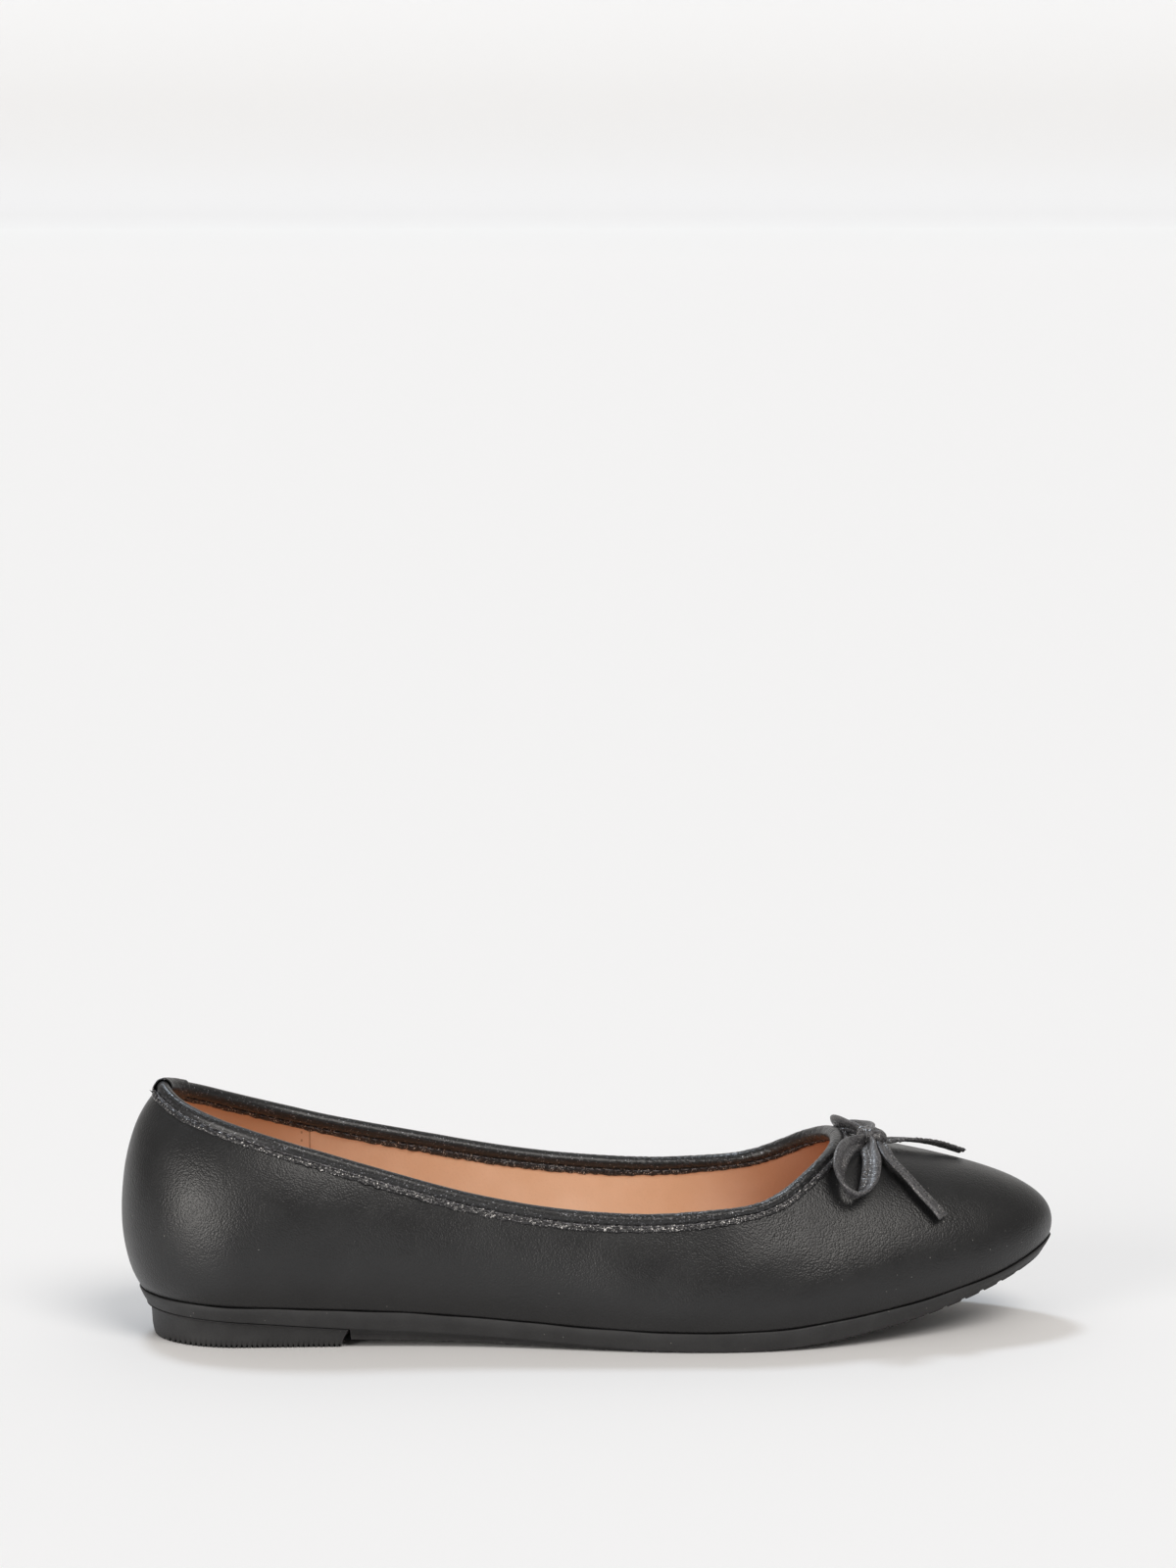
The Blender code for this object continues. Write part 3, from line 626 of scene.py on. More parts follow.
def sewn_seam(tree, place, base):
    """The lining's colour with the seam's shaded edge and the needle holes behind it on it."""
    parts = add(tree, "ShaderNodeSeparateXYZ", {"Vector": place})
    seam = add(tree, "ShaderNodeMath", {0: parts.outputs["X"]}, {1: SEAM_PLACE},
               operation="SUBTRACT").outputs[0]
    edge = add(tree, "ShaderNodeMath", {0: seam}, operation="ABSOLUTE").outputs[0]
    base = blend_colours(tree, between(tree, edge, 0.10 * MM, 0.30 * MM, 0.6, 0.0), base, "#8f5f43")
    # The holes are 2.2 mm behind the edge, one in every 2.4 mm.
    holes = add(tree, "ShaderNodeMath", {0: seam}, {1: 2.2 * MM}, operation="ADD").outputs[0]
    holes = add(tree, "ShaderNodeMath", {0: holes}, operation="ABSOLUTE").outputs[0]
    holes = between(tree, holes, 0.20 * MM, 0.32 * MM, 0.55, 0.0)
    up = add(tree, "ShaderNodeMath", {0: parts.outputs["Z"]}, {1: 2 * pi / (2.4 * MM)},
             operation="MULTIPLY")
    up = add(tree, "ShaderNodeMath", {0: up.outputs[0]}, operation="SINE").outputs[0]
    holes = add(tree, "ShaderNodeMath", {0: holes, 1: between(tree, up, 0.45, 0.75)}, operation="MULTIPLY")
    return blend_colours(tree, holes.outputs[0], base, "#8f5f43")


def lining_leather(name, seamed):
    """Peach pigskin-look lining: coated, matte, with fine pores and a faint cloudiness.

    The wall's lining has a seam where its two pieces meet, and the insole's sock has none.
    """
    finish, tree, shader, place = new_finish(name)
    cloud = mottle(tree, place, 0.018)
    # Pores about 0.5 mm apart, drawn at 0.9 mm
    pores = add(tree, "ShaderNodeTexVoronoi", {"Vector": place}, {"Scale": 1 / 0.0009}).outputs["Distance"]
    base = blend_colours(tree, between(tree, cloud, 0.35, 0.65), "#e6b996", "#eec5a6")
    # Painted shade: the lining is painted deeper and more orange in front, under the throat, for the shade
    # there and the orange light bounced about inside.
    along = add(tree, "ShaderNodeSeparateXYZ", {"Vector": place}).outputs["X"]
    base = blend_colours(tree, between(tree, along, 0.026, 0.070, 0.0, 0.85), base, "#a8603c")
    base = blend_colours(tree, between(tree, pores, 0.10, 0.28, 0.14, 0.0), base, "#c79470")
    if seamed:
        base = sewn_seam(tree, place, base)
    tree.links.new(base, shader.inputs["Base Color"])
    tree.links.new(between(tree, cloud, 0.3, 0.7, 0.50, 0.62), shader.inputs["Roughness"])
    bump = add(tree, "ShaderNodeBump", {"Height": pores}, {"Strength": 0.35, "Distance": 0.00008})
    tree.links.new(bump.outputs["Normal"], shader.inputs["Normal"])
    shader.inputs["IOR"].default_value = 1.5
    return finish


def moulded_rubber():
    """Black thermoplastic rubber from a fine-blasted mould: matte, with a few specks of dust."""
    finish, tree, shader, place = new_finish("moulded_rubber_black")
    cloud = mottle(tree, place, 0.007)
    # The mould's blasting grit is about 0.15 mm, drawn at 0.5 mm
    grit = mottle(tree, place, 0.0005, 2.0)
    dust = add(tree, "ShaderNodeTexVoronoi", {"Vector": place}, {"Scale": 1 / 0.0030}).outputs["Distance"]
    dust = between(tree, dust, 0.04, 0.07, 0.8, 0.0)
    base = blend_colours(tree, between(tree, cloud, 0.35, 0.65), "#252526", "#2d2d2e")
    base = blend_colours(tree, dust, base, "#7c7975")
    tree.links.new(base, shader.inputs["Base Color"])
    tree.links.new(between(tree, grit, 0.3, 0.7, 0.52, 0.66), shader.inputs["Roughness"])
    bump = add(tree, "ShaderNodeBump", {"Height": grit}, {"Strength": 0.4, "Distance": 0.00006})
    tree.links.new(bump.outputs["Normal"], shader.inputs["Normal"])
    shader.inputs["IOR"].default_value = 1.5
    return finish


def sewing_thread():
    """Waxed polyester thread, dark grey, with small glints along its twist painted into its colour as
    lighter grey.
    """
    finish, tree, shader, place = new_finish("sewing_thread_grey")
    painted_twist_glints = mottle(tree, place, 0.0006, 1.0)
    # Painted glints: lighter grey swells along the thread.
    base = blend_colours(tree, between(tree, painted_twist_glints, 0.35, 0.65), "#2a292b", "#77757a")
    tree.links.new(base, shader.inputs["Base Color"])
    shader.inputs["Roughness"].default_value = 0.38
    shader.inputs["IOR"].default_value = 1.5
    return finish


# How far behind the shoe the paper sweep starts to curve up, in metres
FLAT_PAPER = 12.0


def studio_paper():
    """The pale paper sweep that the shoe stands on, painted greyer far behind and where it curves up, and
    cooler at its top: painted shade and tint that even out the brighter, warmer light there.
    """
    finish, tree, shader, place = new_finish("studio_paper")
    fibre = mottle(tree, place, 0.0009)
    base = blend_colours(tree, fibre, "#f2f1f1", "#f4f3f3")
    behind = add(tree, "ShaderNodeSeparateXYZ", {"Vector": place}).outputs["Y"]
    # Painted shade: greyer from 2.5 m before the curve and most where the curve starts, then a little
    # lighter and cooler towards its top, against the brighter, warmer light that falls on the curve.
    base = blend_colours(tree, between(tree, behind, FLAT_PAPER - 2.5, FLAT_PAPER), base, "#efefef")
    base = blend_colours(tree, between(tree, behind, FLAT_PAPER, FLAT_PAPER + 0.3), base, "#e5e5e6")
    base = blend_colours(tree, between(tree, behind, FLAT_PAPER + 0.3, FLAT_PAPER + 1.5), base, "#e7eaee")
    tree.links.new(base, shader.inputs["Base Color"])
    shader.inputs["Roughness"].default_value = 0.9
    shader.inputs["Specular IOR Level"].default_value = 0.1
    return finish


leather = coated_leather()
roll_tape = glitter_tape("coated_tape_roll", 0.09, "#111112", "#1e1e1f", "#8c8d92", 0.31)
gathered_tape = glitter_tape("coated_tape_gathered", 0.22, "#131214", "#252426", "#cfccc9", 0.31)
bow_tape = glitter_tape("coated_tape_bow", 0.26, "#1f1e20", "#626163", "#a09d9c", 0.40)
sewn_tape = glitter_tape("coated_tape_sewn", 0.30, "#19181a", "#5c5b5d", "#c6c3c0", 0.32)
lining = lining_leather("lining_leather_peach", True)
sock = lining_leather("sock_leather_peach", False)
rubber = moulded_rubber()
thread = sewing_thread()
paper = studio_paper()


# The upper

# Rays round the wall, and steps up each of them
WALL_RAYS = 360
WALL_STEPS = 56


def crease_depth(angle, rise):
    """How far the wall's face is pushed in by the soft troughs, with their ridges."""
    share = run(angle)
    side = side_of(angle)
    height = np.linalg.norm(topline(collar_angle(angle)) - feather(angle), axis=-1)
    depth = np.zeros(share.shape)
    for crease_side, length, at_rise, reach, width, slant, deep in CREASES:
        along = (share - length) * SOLE_LENGTH
        above = (rise - at_rise) * height
        turn = radians(slant)
        lengthwise = (above * cos(turn) + along * sin(turn)) / (reach * MM)
        crosswise = (along * cos(turn) - above * sin(turn)) / (width * MM)
        shape = np.exp(-lengthwise ** 2) * (1 - 1.3 * crosswise ** 2) * np.exp(-crosswise ** 2)
        depth += np.where(side == crease_side, deep * MM * shape, 0)
    edge = np.clip(rise / 0.08, 0, 1) * np.clip((1 - rise) / 0.06, 0, 1)
    return depth * edge


def make_upper():
    """Outer skin, lining and turned margin, as one closed wall."""
    seam = float(np.arccos(1 - 2 * (SEAM_PLACE - FEATHER_BACK) / SOLE_LENGTH))
    near_seam = np.linspace(-0.012, 0.012, 9)
    angles = np.linspace(0, 2 * pi, WALL_RAYS, endpoint=False)
    angles = np.unique(np.concatenate([angles, seam + near_seam, 2 * pi - seam + near_seam]))
    rises = np.linspace(0, 1, WALL_STEPS + 1)
    grid_angles, grid_rises = np.meshgrid(angles, rises, indexing="ij")
    outer = wall(grid_angles, grid_rises)
    normals = wall_normal(grid_angles, grid_rises)
    swell = ripple(outer, 0.016) * 0.00012 + ripple(outer, 0.006, 3.0) * 0.00004
    swell *= np.clip(grid_rises / 0.05, 0, 1)
    pushed = outer + normals * (swell - crease_depth(grid_angles, grid_rises))[..., None]
    inner = outer - UPPER_WALL * normals
    # The lining's front piece is sewn over its back piece, so its edge stands up at the seam.
    lapped = np.clip((inner[..., 0] - SEAM_PLACE) / (0.25 * MM), 0, 1)
    eased = 1 - np.clip((inner[..., 0] - SEAM_PLACE) / (6 * MM), 0, 1)
    inner += normals * (ripple(inner, 0.012, 9.0) * 0.10 * MM - lapped * eased * 0.40 * MM)[..., None]
    def margin(inwards, raised):
        plan = outline(angles, -inwards)
        return np.concatenate([plan, sole_top(plan[:, :1]) + GAP + raised], axis=-1)
    inner[:, 0] = margin(UPPER_WALL, UPPER_WALL)
    under = [margin(MARGIN_WIDTH * inwards, UPPER_WALL * raised)
             for inwards, raised in ((0.5, 1), (1, 1), (1, 0), (0.5, 0))]
    rings = np.concatenate([pushed, inner[:, ::-1], np.stack(under, axis=1)], axis=1)
    skin = WALL_STEPS + 1
    upper = net("upper_skin", rings, (leather, lining),
                lambda row, column: ((column >= skin) & (column < 2 * skin + 2)).astype(int),
                round_rows=True, round_columns=True)
    settle(upper, "upper", "upper")


# The sole

# Stations along each part, the rounding of the band's edges, and the ribs of the two treads
SOLE_STATIONS = 1100
LIP = 0.00035
TREAD_DEPTH = 0.0005
TREAD_PITCH = 0.0052
HEEL_PITCH = 0.00135
HEEL_TOOTH = 0.0007
HEEL_STATIONS = 620


def side_rows(turn, profile):
    """One side of a sole part: each row of its profile has a way out and a height."""
    rows = []
    for outwards, height in profile:
        plan = outline(turn, outwards)
        rows.append(np.concatenate([plan, height(plan[:, :1])], axis=-1))
    return np.stack(rows, axis=1)


def cross_rows(first, last, count, height=None):
    """Rows between two edges of a sole part, laid on a height where one is given."""
    rows = []
    for part in np.linspace(0, 1, count)[1:-1]:
        row = first * (1 - part) + last * part
        if height is not None:
            row = np.concatenate([row[:, :2], height(row[:, :1])], axis=-1)
        rows.append(row)
    return np.stack(rows, axis=1)


def tread(x, pitch, open_share):
    """Ribs across the sole: 0 on a rib and 1 in the groove behind it."""
    part = np.mod(x / pitch, 1.0)
    return np.clip((part - 1 + open_share) / 0.06, 0, 1) * np.clip((1 - part) / 0.06, 0, 1)


def make_sole():
    """The sole unit: a flared edge band, a tread layer that steps in, and the heel's seat."""
    angles = np.linspace(0, pi, SOLE_STATIONS)
    flared = SOLE_PROUD - BAND_FLARE
    tread_top = flared - BAND_STEP
    tread_foot = tread_top - TREAD_TAPER
    def underside(x):
        seat = x < FEATHER_BACK + HEEL_LENGTH
        front = sole_underside(x)
        ribbed = np.clip((x - 0.008) / 0.004, 0, 1) * np.clip((0.116 - x) / 0.004, 0, 1)
        front = front + TREAD_DEPTH * tread(x, TREAD_PITCH, 0.3) * ribbed
        return np.where(seat, band_foot(x) - GAP, front)
    def lip(x):
        # The lip's height wavers a little along the edge.
        return sole_top(x) + (0.14 + 0.06 * (np.sin(x / (4.7 * MM)) + np.sin(x / (2.9 * MM)))) * MM
    profile = (
        (SOLE_PROUD - 3 * LIP, sole_top),
        (SOLE_PROUD - LIP, lip),
        (SOLE_PROUD - 0.3 * LIP, lambda x: lip(x) - 0.3 * LIP),
        (SOLE_PROUD, lambda x: lip(x) - LIP),
        (SOLE_PROUD - 0.45 * BAND_FLARE, lambda x: 0.5 * (sole_top(x) + band_foot(x))),
        (flared, lambda x: band_foot(x) + LIP),
        (flared - 0.3 * LIP, lambda x: band_foot(x) + 0.3 * LIP),
        (flared - LIP, band_foot),
        (tread_top, lambda x: band_foot(x) - 0.3 * GAP),
        (tread_top, lambda x: np.minimum(band_foot(x) - 0.6 * GAP, 0.5 * (band_foot(x) + underside(x)))),
        (0.5 * (tread_top + tread_foot), lambda x: 0.5 * (band_foot(x) + underside(x))),
        (tread_foot, lambda x: underside(x) + LIP * 0.6),
        (tread_foot - 0.4 * LIP, lambda x: underside(x) + 0.1 * LIP),
        (tread_foot - LIP, underside),
    )
    lateral, medial = side_rows(angles, profile), side_rows(-angles, profile)
    under = cross_rows(lateral[:, -1], medial[:, -1], 16, underside)
    over = cross_rows(medial[:, 0], lateral[:, 0], 16, sole_top)
    rings = np.concatenate([lateral, under, medial[:, ::-1], over], axis=1)
    sole = net("sole_unit", rings, (rubber,), round_columns=True)
    settle(sole, "sole", "outsole")


def make_heel():
    """The low heel block, with its edge worn soft and fine ribs across its tread."""
    breast = FEATHER_BACK + HEEL_LENGTH - 2 * GAP
    inset = BAND_FLARE + HEEL_STEP - SOLE_PROUD
    back = FEATHER_BACK + inset
    turn = float(np.arccos(1 - 2 * (breast - FEATHER_BACK) / SOLE_LENGTH))
    angles = np.linspace(0.0, turn, HEEL_STATIONS)
    def foot(x):
        ribbed = np.clip((x - back - 0.003) / 0.002, 0, 1)
        return HEEL_TOOTH * tread(x, HEEL_PITCH, 0.42) * ribbed
    def seat(x):
        return band_foot(x) - GAP
    # The top of its side runs out in a cove to the band above, as one moulding does.
    profile = (
        (0.8 * MM, 0.0, seat),
        (-0.90 * HEEL_STEP, 0.0, seat),
        (-0.60 * HEEL_STEP, 0.0, lambda x: seat(x) - 0.12 * MM),
        (-0.25 * HEEL_STEP, 0.1, lambda x: seat(x) - 0.40 * MM),
        (0.0, 0.2, lambda x: seat(x) - 0.95 * MM),
        (0.25 * HEEL_CHAMFER, 0.6, lambda x: x * 0 + 2.2 * HEEL_CHAMFER),
        (0.45 * HEEL_CHAMFER, 0.8, lambda x: x * 0 + 1.2 * HEEL_CHAMFER),
        (0.65 * HEEL_CHAMFER, 0.9, lambda x: foot(x) + 0.45 * HEEL_CHAMFER),
        (0.80 * HEEL_CHAMFER, 1.0, lambda x: foot(x) + 0.10 * HEEL_CHAMFER),
        (1.0 * HEEL_CHAMFER, 1.0, foot),
    )
    def side(sense):
        rows = []
        for inwards, down, height in profile:
            plan = outline(sense * angles, -inset - inwards)
            plan[-1, 0] = breast
            plan[:, 0] = back + (plan[:, 0] - back) * (1 - down * BREAST_SLANT / (breast - back))
            rows.append(np.concatenate([plan, height(plan[:, :1])], axis=-1))
        return np.stack(rows, axis=1)
    lateral, medial = side(1), side(-1)
    under = cross_rows(lateral[:, -1], medial[:, -1], 16, foot)
    over = cross_rows(medial[:, 0], lateral[:, 0], 16)
    rings = np.concatenate([lateral, under, medial[:, ::-1], over], axis=1)
    breast_face = rings[-1:] * 1.0
    middle = breast_face.mean(axis=1, keepdims=True)
    steps = [breast_face + (middle - breast_face) * part for part in (0.04, 0.4, 1.0)]
    rings = np.concatenate([rings] + steps, axis=0)
    heel = net("heel_block", rings, (rubber,), round_columns=True)
    settle(heel, "sole", "heel")


def make_insole():
    """The lining sock over its foam: a low cushion that dips where the foot stands."""
    angles = np.linspace(0, pi, 260)
    body = MARGIN_WIDTH + 2 * GAP
    rim = UPPER_WALL + 2 * GAP
    def height(extra):
        return lambda x: sole_top(x) + extra
    profile = (
        (-body, height(GAP)),
        (-body, height(rim)),
        (-INSOLE_INSET, height(rim)),
        (-INSOLE_INSET, height(rim + 0.5 * INSOLE_THICKNESS)),
        (-INSOLE_INSET - 0.3 * MM, height(rim + 0.85 * INSOLE_THICKNESS)),
        (-INSOLE_INSET - 1.0 * MM, height(rim + INSOLE_THICKNESS)),
    )
    lateral, medial = side_rows(angles, profile), side_rows(-angles, profile)
    over = cross_rows(lateral[:, -1], medial[:, -1], 30)
    part = np.linspace(0, 1, 30)[1:-1]
    over[..., 2] -= 0.8 * MM * np.sin(pi * part) ** 0.7 * (1 + 0.2 * ripple(over, 0.02))
    under = cross_rows(medial[:, 0], lateral[:, 0], 30)
    rings = np.concatenate([lateral, over, medial[:, ::-1], under], axis=1)
    insole = net("insole_sock", rings, (sock,), round_columns=True)
    settle(insole, "lining", "insole")


# The binding

# Rays round the collar, and the length of a stitch in the binding's seam
BINDING_RAYS = 1500
STITCH_LENGTH = 0.0026
# Where the roll's section starts and ends, how far from the wall's middle the hem starts, and
# the height of the neck between the roll and the hem
ROLL_TURNS = (-0.30 * pi, 1.30 * pi)
HEM_START = UPPER_WALL / 2 + 0.05 * MM
NECK = BINDING_LIFT + BINDING_ROLL / 2 * sin(ROLL_TURNS[0])


def arc_lengths(points):
    """Length along a row of points, from its start to each of them."""
    return np.concatenate([[0], np.cumsum(np.linalg.norm(np.diff(points, axis=0), axis=1))])


def binding_frame(count):
    """Evenly spaced places round the wall's cut edge, with the ways out and up, and their angles."""
    fine = np.linspace(0, 2 * pi, 2400)
    length = arc_lengths(edge_frame(fine)[0])
    angles = np.interp(np.linspace(0, length[-1], count, endpoint=False), length, fine)
    return angles, edge_frame(angles), length[-1]


def make_binding():
    """The rolled binding: a soft roll over the edge and, under it, a stitched and gathered hem."""
    angles, (middle, outwards, upwards), length = binding_frame(BINDING_RAYS)
    way = np.linspace(0, length, BINDING_RAYS, endpoint=False)
    share = run(collar_angle(angles))
    # The roll runs smooth along the sides and is pulled into small gathers round the throat.
    ruched = np.clip((share - 0.52) / 0.25, 0.06, 1.0)
    radius = BINDING_ROLL / 2
    foot = BINDING_LIFT + radius - BINDING_HEIGHT
    hem = BINDING_HEIGHT - BINDING_ROLL
    pucker = np.abs(np.sin(pi * way / STITCH_LENGTH)) ** 0.6
    uneven = ripple(middle, 0.0030, 5.0)
    crinkle = ripple(middle, 0.0011, 7.0)
    ragged = ripple(middle, 0.0017, 11.0)
    leg_foot = foot + 0.25 * MM + 0.34 * MM * ragged + 0.18 * MM * crinkle
    hem_swell = 0.32 * MM + 0.30 * MM * pucker * (1 + 0.5 * uneven) + 0.14 * MM * crinkle
    seam = 0.02 * MM + 0.06 * MM * crinkle
    leg = [
        (HEM_START, leg_foot + 0.05 * MM),
        (HEM_START + 0.25 * MM, leg_foot),
        (HEM_START + 0.9 * hem_swell, leg_foot + 0.18 * hem),
        (HEM_START + hem_swell, leg_foot + 0.45 * hem),
        (HEM_START + 0.85 * hem_swell, 0.3 * leg_foot + 0.7 * (NECK - 0.15 * MM)),
        (HEM_START + 0.25 * MM + seam, NECK - 0.30 * MM),
        (HEM_START + 0.22 * MM + seam, NECK - 0.10 * MM),
    ]
    roll = []
    for turn in np.linspace(*ROLL_TURNS, 29):
        out, up = cos(turn), sin(turn)
        around = middle + (outwards * out + upwards * up) * radius * 2
        phase = way / (2.1 * MM) + 1.3 * ripple(around, 0.0060, 2.0) + 0.35 * ripple(around, 0.0022, 6.0)
        gather = (np.abs(np.sin(pi * phase)) ** 0.8 - 0.6) * (0.7 + 0.6 * ripple(around, 0.0080, 8.0))
        full = radius + (0.14 * gather + 0.12 * ripple(around, 0.0019, 4.0)) * MM * ruched
        full += 0.05 * MM * ripple(around, 0.0075, 3.0)
        roll.append((full * out, BINDING_LIFT + full * up))
    inner_leg = [(-out, up) for out, up in leg[::-1]]
    columns = []
    for out, up in leg + roll + inner_leg + [(-HEM_START, GAP), (HEM_START, GAP)]:
        out = np.broadcast_to(out, (BINDING_RAYS,))
        up = np.broadcast_to(up, (BINDING_RAYS,))
        columns.append(middle + out[:, None] * outwards + up[:, None] * upwards)
    rolled = len(leg), len(leg) + len(roll) - 1
    binding = net("collar_binding", np.stack(columns, axis=1), (gathered_tape, roll_tape),
                  lambda row, column: ((column >= rolled[0]) & (column < rolled[1])).astype(int),
                  round_rows=True, round_columns=True)
    settle(binding, "tape", "binding")


def make_binding_end():
    """The binding's far end at the back of the heel, laid over its near end and cut off.

    Its end stands a little open round the roll beneath it, and the hem's corner sticks out.
    """
    angles = np.linspace(-0.35, 0.035, 90)
    middle, outwards, upwards = edge_frame(angles)
    part = np.linspace(0, 1, len(angles))
    opened = np.clip((part - 0.80) / 0.20, 0, 1) ** 2
    closed = np.clip(np.minimum(part, 1 - part) / 0.03, 0, 1)
    under = BINDING_ROLL / 2 + (0.02 + 0.45 * opened) * MM
    thick = 0.42 * MM * closed
    turns = np.linspace(-0.42 * pi, 1.38 * pi, 30)
    columns = []
    for layer, way in ((1, turns), (0, turns[::-1])):
        for turn in way:
            around = middle + (outwards * cos(turn) + upwards * sin(turn)) * BINDING_ROLL
            full = under + layer * thick + 0.10 * MM * ripple(around, 0.0022, 5.0) * layer
            drop = np.where(sin(turn) < -0.2, 0.5 * MM, 0) * (1 + ripple(around, 0.0016, 3.0))
            up = BINDING_LIFT + full * sin(turn) - drop
            columns.append(middle + (full * cos(turn))[:, None] * outwards + up[:, None] * upwards)
    overlap = net("binding_overlap", np.stack(columns, axis=1), (roll_tape, gathered_tape),
                  lambda row, column: ((column % 30 < 5) | (column % 30 > 25)).astype(int),
                  round_columns=True)
    settle(overlap, "tape")
    # The corner of the hem: a frayed point about 2.5 mm long that leans back and down
    root, out, up = (side[0] for side in edge_frame(np.array([0.10])))
    beside = np.cross(up, out)
    base = root + out * 1.1 * MM + up * (BINDING_LIFT - 2.3 * MM)
    rows = np.linspace(0, 1, 14)
    across = np.linspace(-1, 1, 9)
    net_rows = []
    for row in rows:
        centre = base + out * 2.5 * MM * row - up * 0.6 * MM * row ** 2
        half = (1.5 * (1 - row) ** 0.8 + 0.05) * MM
        thickness = (0.45 * (1 - row) + 0.05) * MM
        ring = [centre + beside * half * a + up * thickness * (1 - a * a) for a in across]
        ring += [centre + beside * half * a - up * thickness * (1 - a * a) for a in across[::-1]]
        net_rows.append(ring)
    places = crumple(np.array(net_rows), 0.7 * MM, 0.22 * MM * rows[:, None, None])
    tab = net("binding_tab", with_ends(places), (gathered_tape,), round_columns=True)
    settle(tab, "tape")


def tube(centre, across, up, thick, sides):
    """A tube's net of places along a line, as thick at each place as is asked."""
    turns = np.linspace(0, 2 * pi, sides, endpoint=False)
    thick = np.asarray(thick)[:, None, None]
    around = np.cos(turns)[:, None] * across[:, None, :] + np.sin(turns)[:, None] * up[:, None, :]
    return centre[:, None, :] + thick * around


def join_nets(name, nets, finish):
    """One mesh from the nets of several tubes, with a face over each of their ends."""
    places, faces, start = [], [], 0
    for grid in nets:
        rows, columns = grid.shape[:2]
        number = start + np.arange(rows * columns).reshape(rows, columns)
        after = np.roll(number, -1, axis=1)
        faces += np.stack([number[:-1], number[1:], after[1:], after[:-1]], axis=-1).reshape(-1, 4).tolist()
        faces += [number[0, ::-1].tolist(), number[-1].tolist()]
        places.append(grid.reshape(-1, 3))
        start += rows * columns
    mesh = bpy.data.meshes.new(name)
    mesh.from_pydata(np.concatenate(places).tolist(), [], faces)
    return dress(name, mesh, (finish,))


def make_stitches():
    """The seam that holds the binding: a stitch in each dimple under the roll, on both faces."""
    length = binding_frame(8)[2]
    count = int(length / STITCH_LENGTH)
    _, (middle, outwards, upwards), _ = binding_frame(count * 8)
    nets = []
    for side in (1, -1):
        line = middle + outwards * side * (HEM_START + 0.52 * MM) + upwards * (NECK - 0.42 * MM)
        for stitch in range(count):
            rows = (np.arange(7) + stitch * 8) % len(line)
            hump = np.sin(np.linspace(0, pi, 7))
            centre = line[rows] + outwards[rows] * side * (0.16 * MM * hump[:, None] - 0.10 * MM)
            thick = 0.16 * MM * np.clip(hump, 0.3, 1) ** 0.5
            nets.append(tube(centre, outwards[rows], upwards[rows], thick, 5))
    stitches = join_nets("binding_stitches", nets, thread)
    settle(stitches, "tape")


# The bow

def knot_frame():
    """The knot's place on the vamp, and its forward, side and up ways."""
    throat = wall(pi, 1.0)
    seat, up = vamp_seat(throat[0] + KNOT_SETBACK, throat[1] + KNOT_ASIDE)
    forward = np.array([1.0, 0.0, 0.0])
    forward -= forward.dot(up) * up
    forward /= np.linalg.norm(forward)
    return seat, forward, np.cross(up, forward), up


KNOT = knot_frame()


# Across the ribbon, from the edge with the roll to the edge with the sewn hem: the place as
# a share of the half width, the half thickness in mm and the share of the gathers.
RIBBON_SECTION = (
    # place, half thickness, gathers
    (-1.00, 0.05, 0.0),
    (-0.97, 0.28, 0.0),
    (-0.86, 0.47, 0.0),
    (-0.66, 0.60, 0.1),
    (-0.42, 0.64, 0.1),
    (-0.18, 0.58, 0.2),
    (0.02, 0.42, 0.3),
    (0.13, 0.25, 0.3),
    (0.24, 0.25, 0.6),
    (0.38, 0.42, 1.0),
    (0.56, 0.48, 1.0),
    (0.74, 0.44, 1.0),
    (0.88, 0.32, 0.8),
    (1.00, 0.06, 0.0),
)
# The share of the gathers from which the tape is taken as sewn, with more flecks showing
HEM_GATHERS = 0.3

# The passes of the ribbon over the knot. The turn is from straight ahead towards the inner
# side in degrees, the shift and lean are aside, the width and the height over the core in mm.
KNOT_PASSES = (
    # turn, shift, lean, width, height
    (78, 0.5, 0.4, 3.2, 0.50),
    (32, -1.3, 0.7, 2.4, 0.30),
    (-34, 0.9, -0.6, 2.6, 0.35),
    (8, 1.9, 0.3, 1.8, 0.10),
)


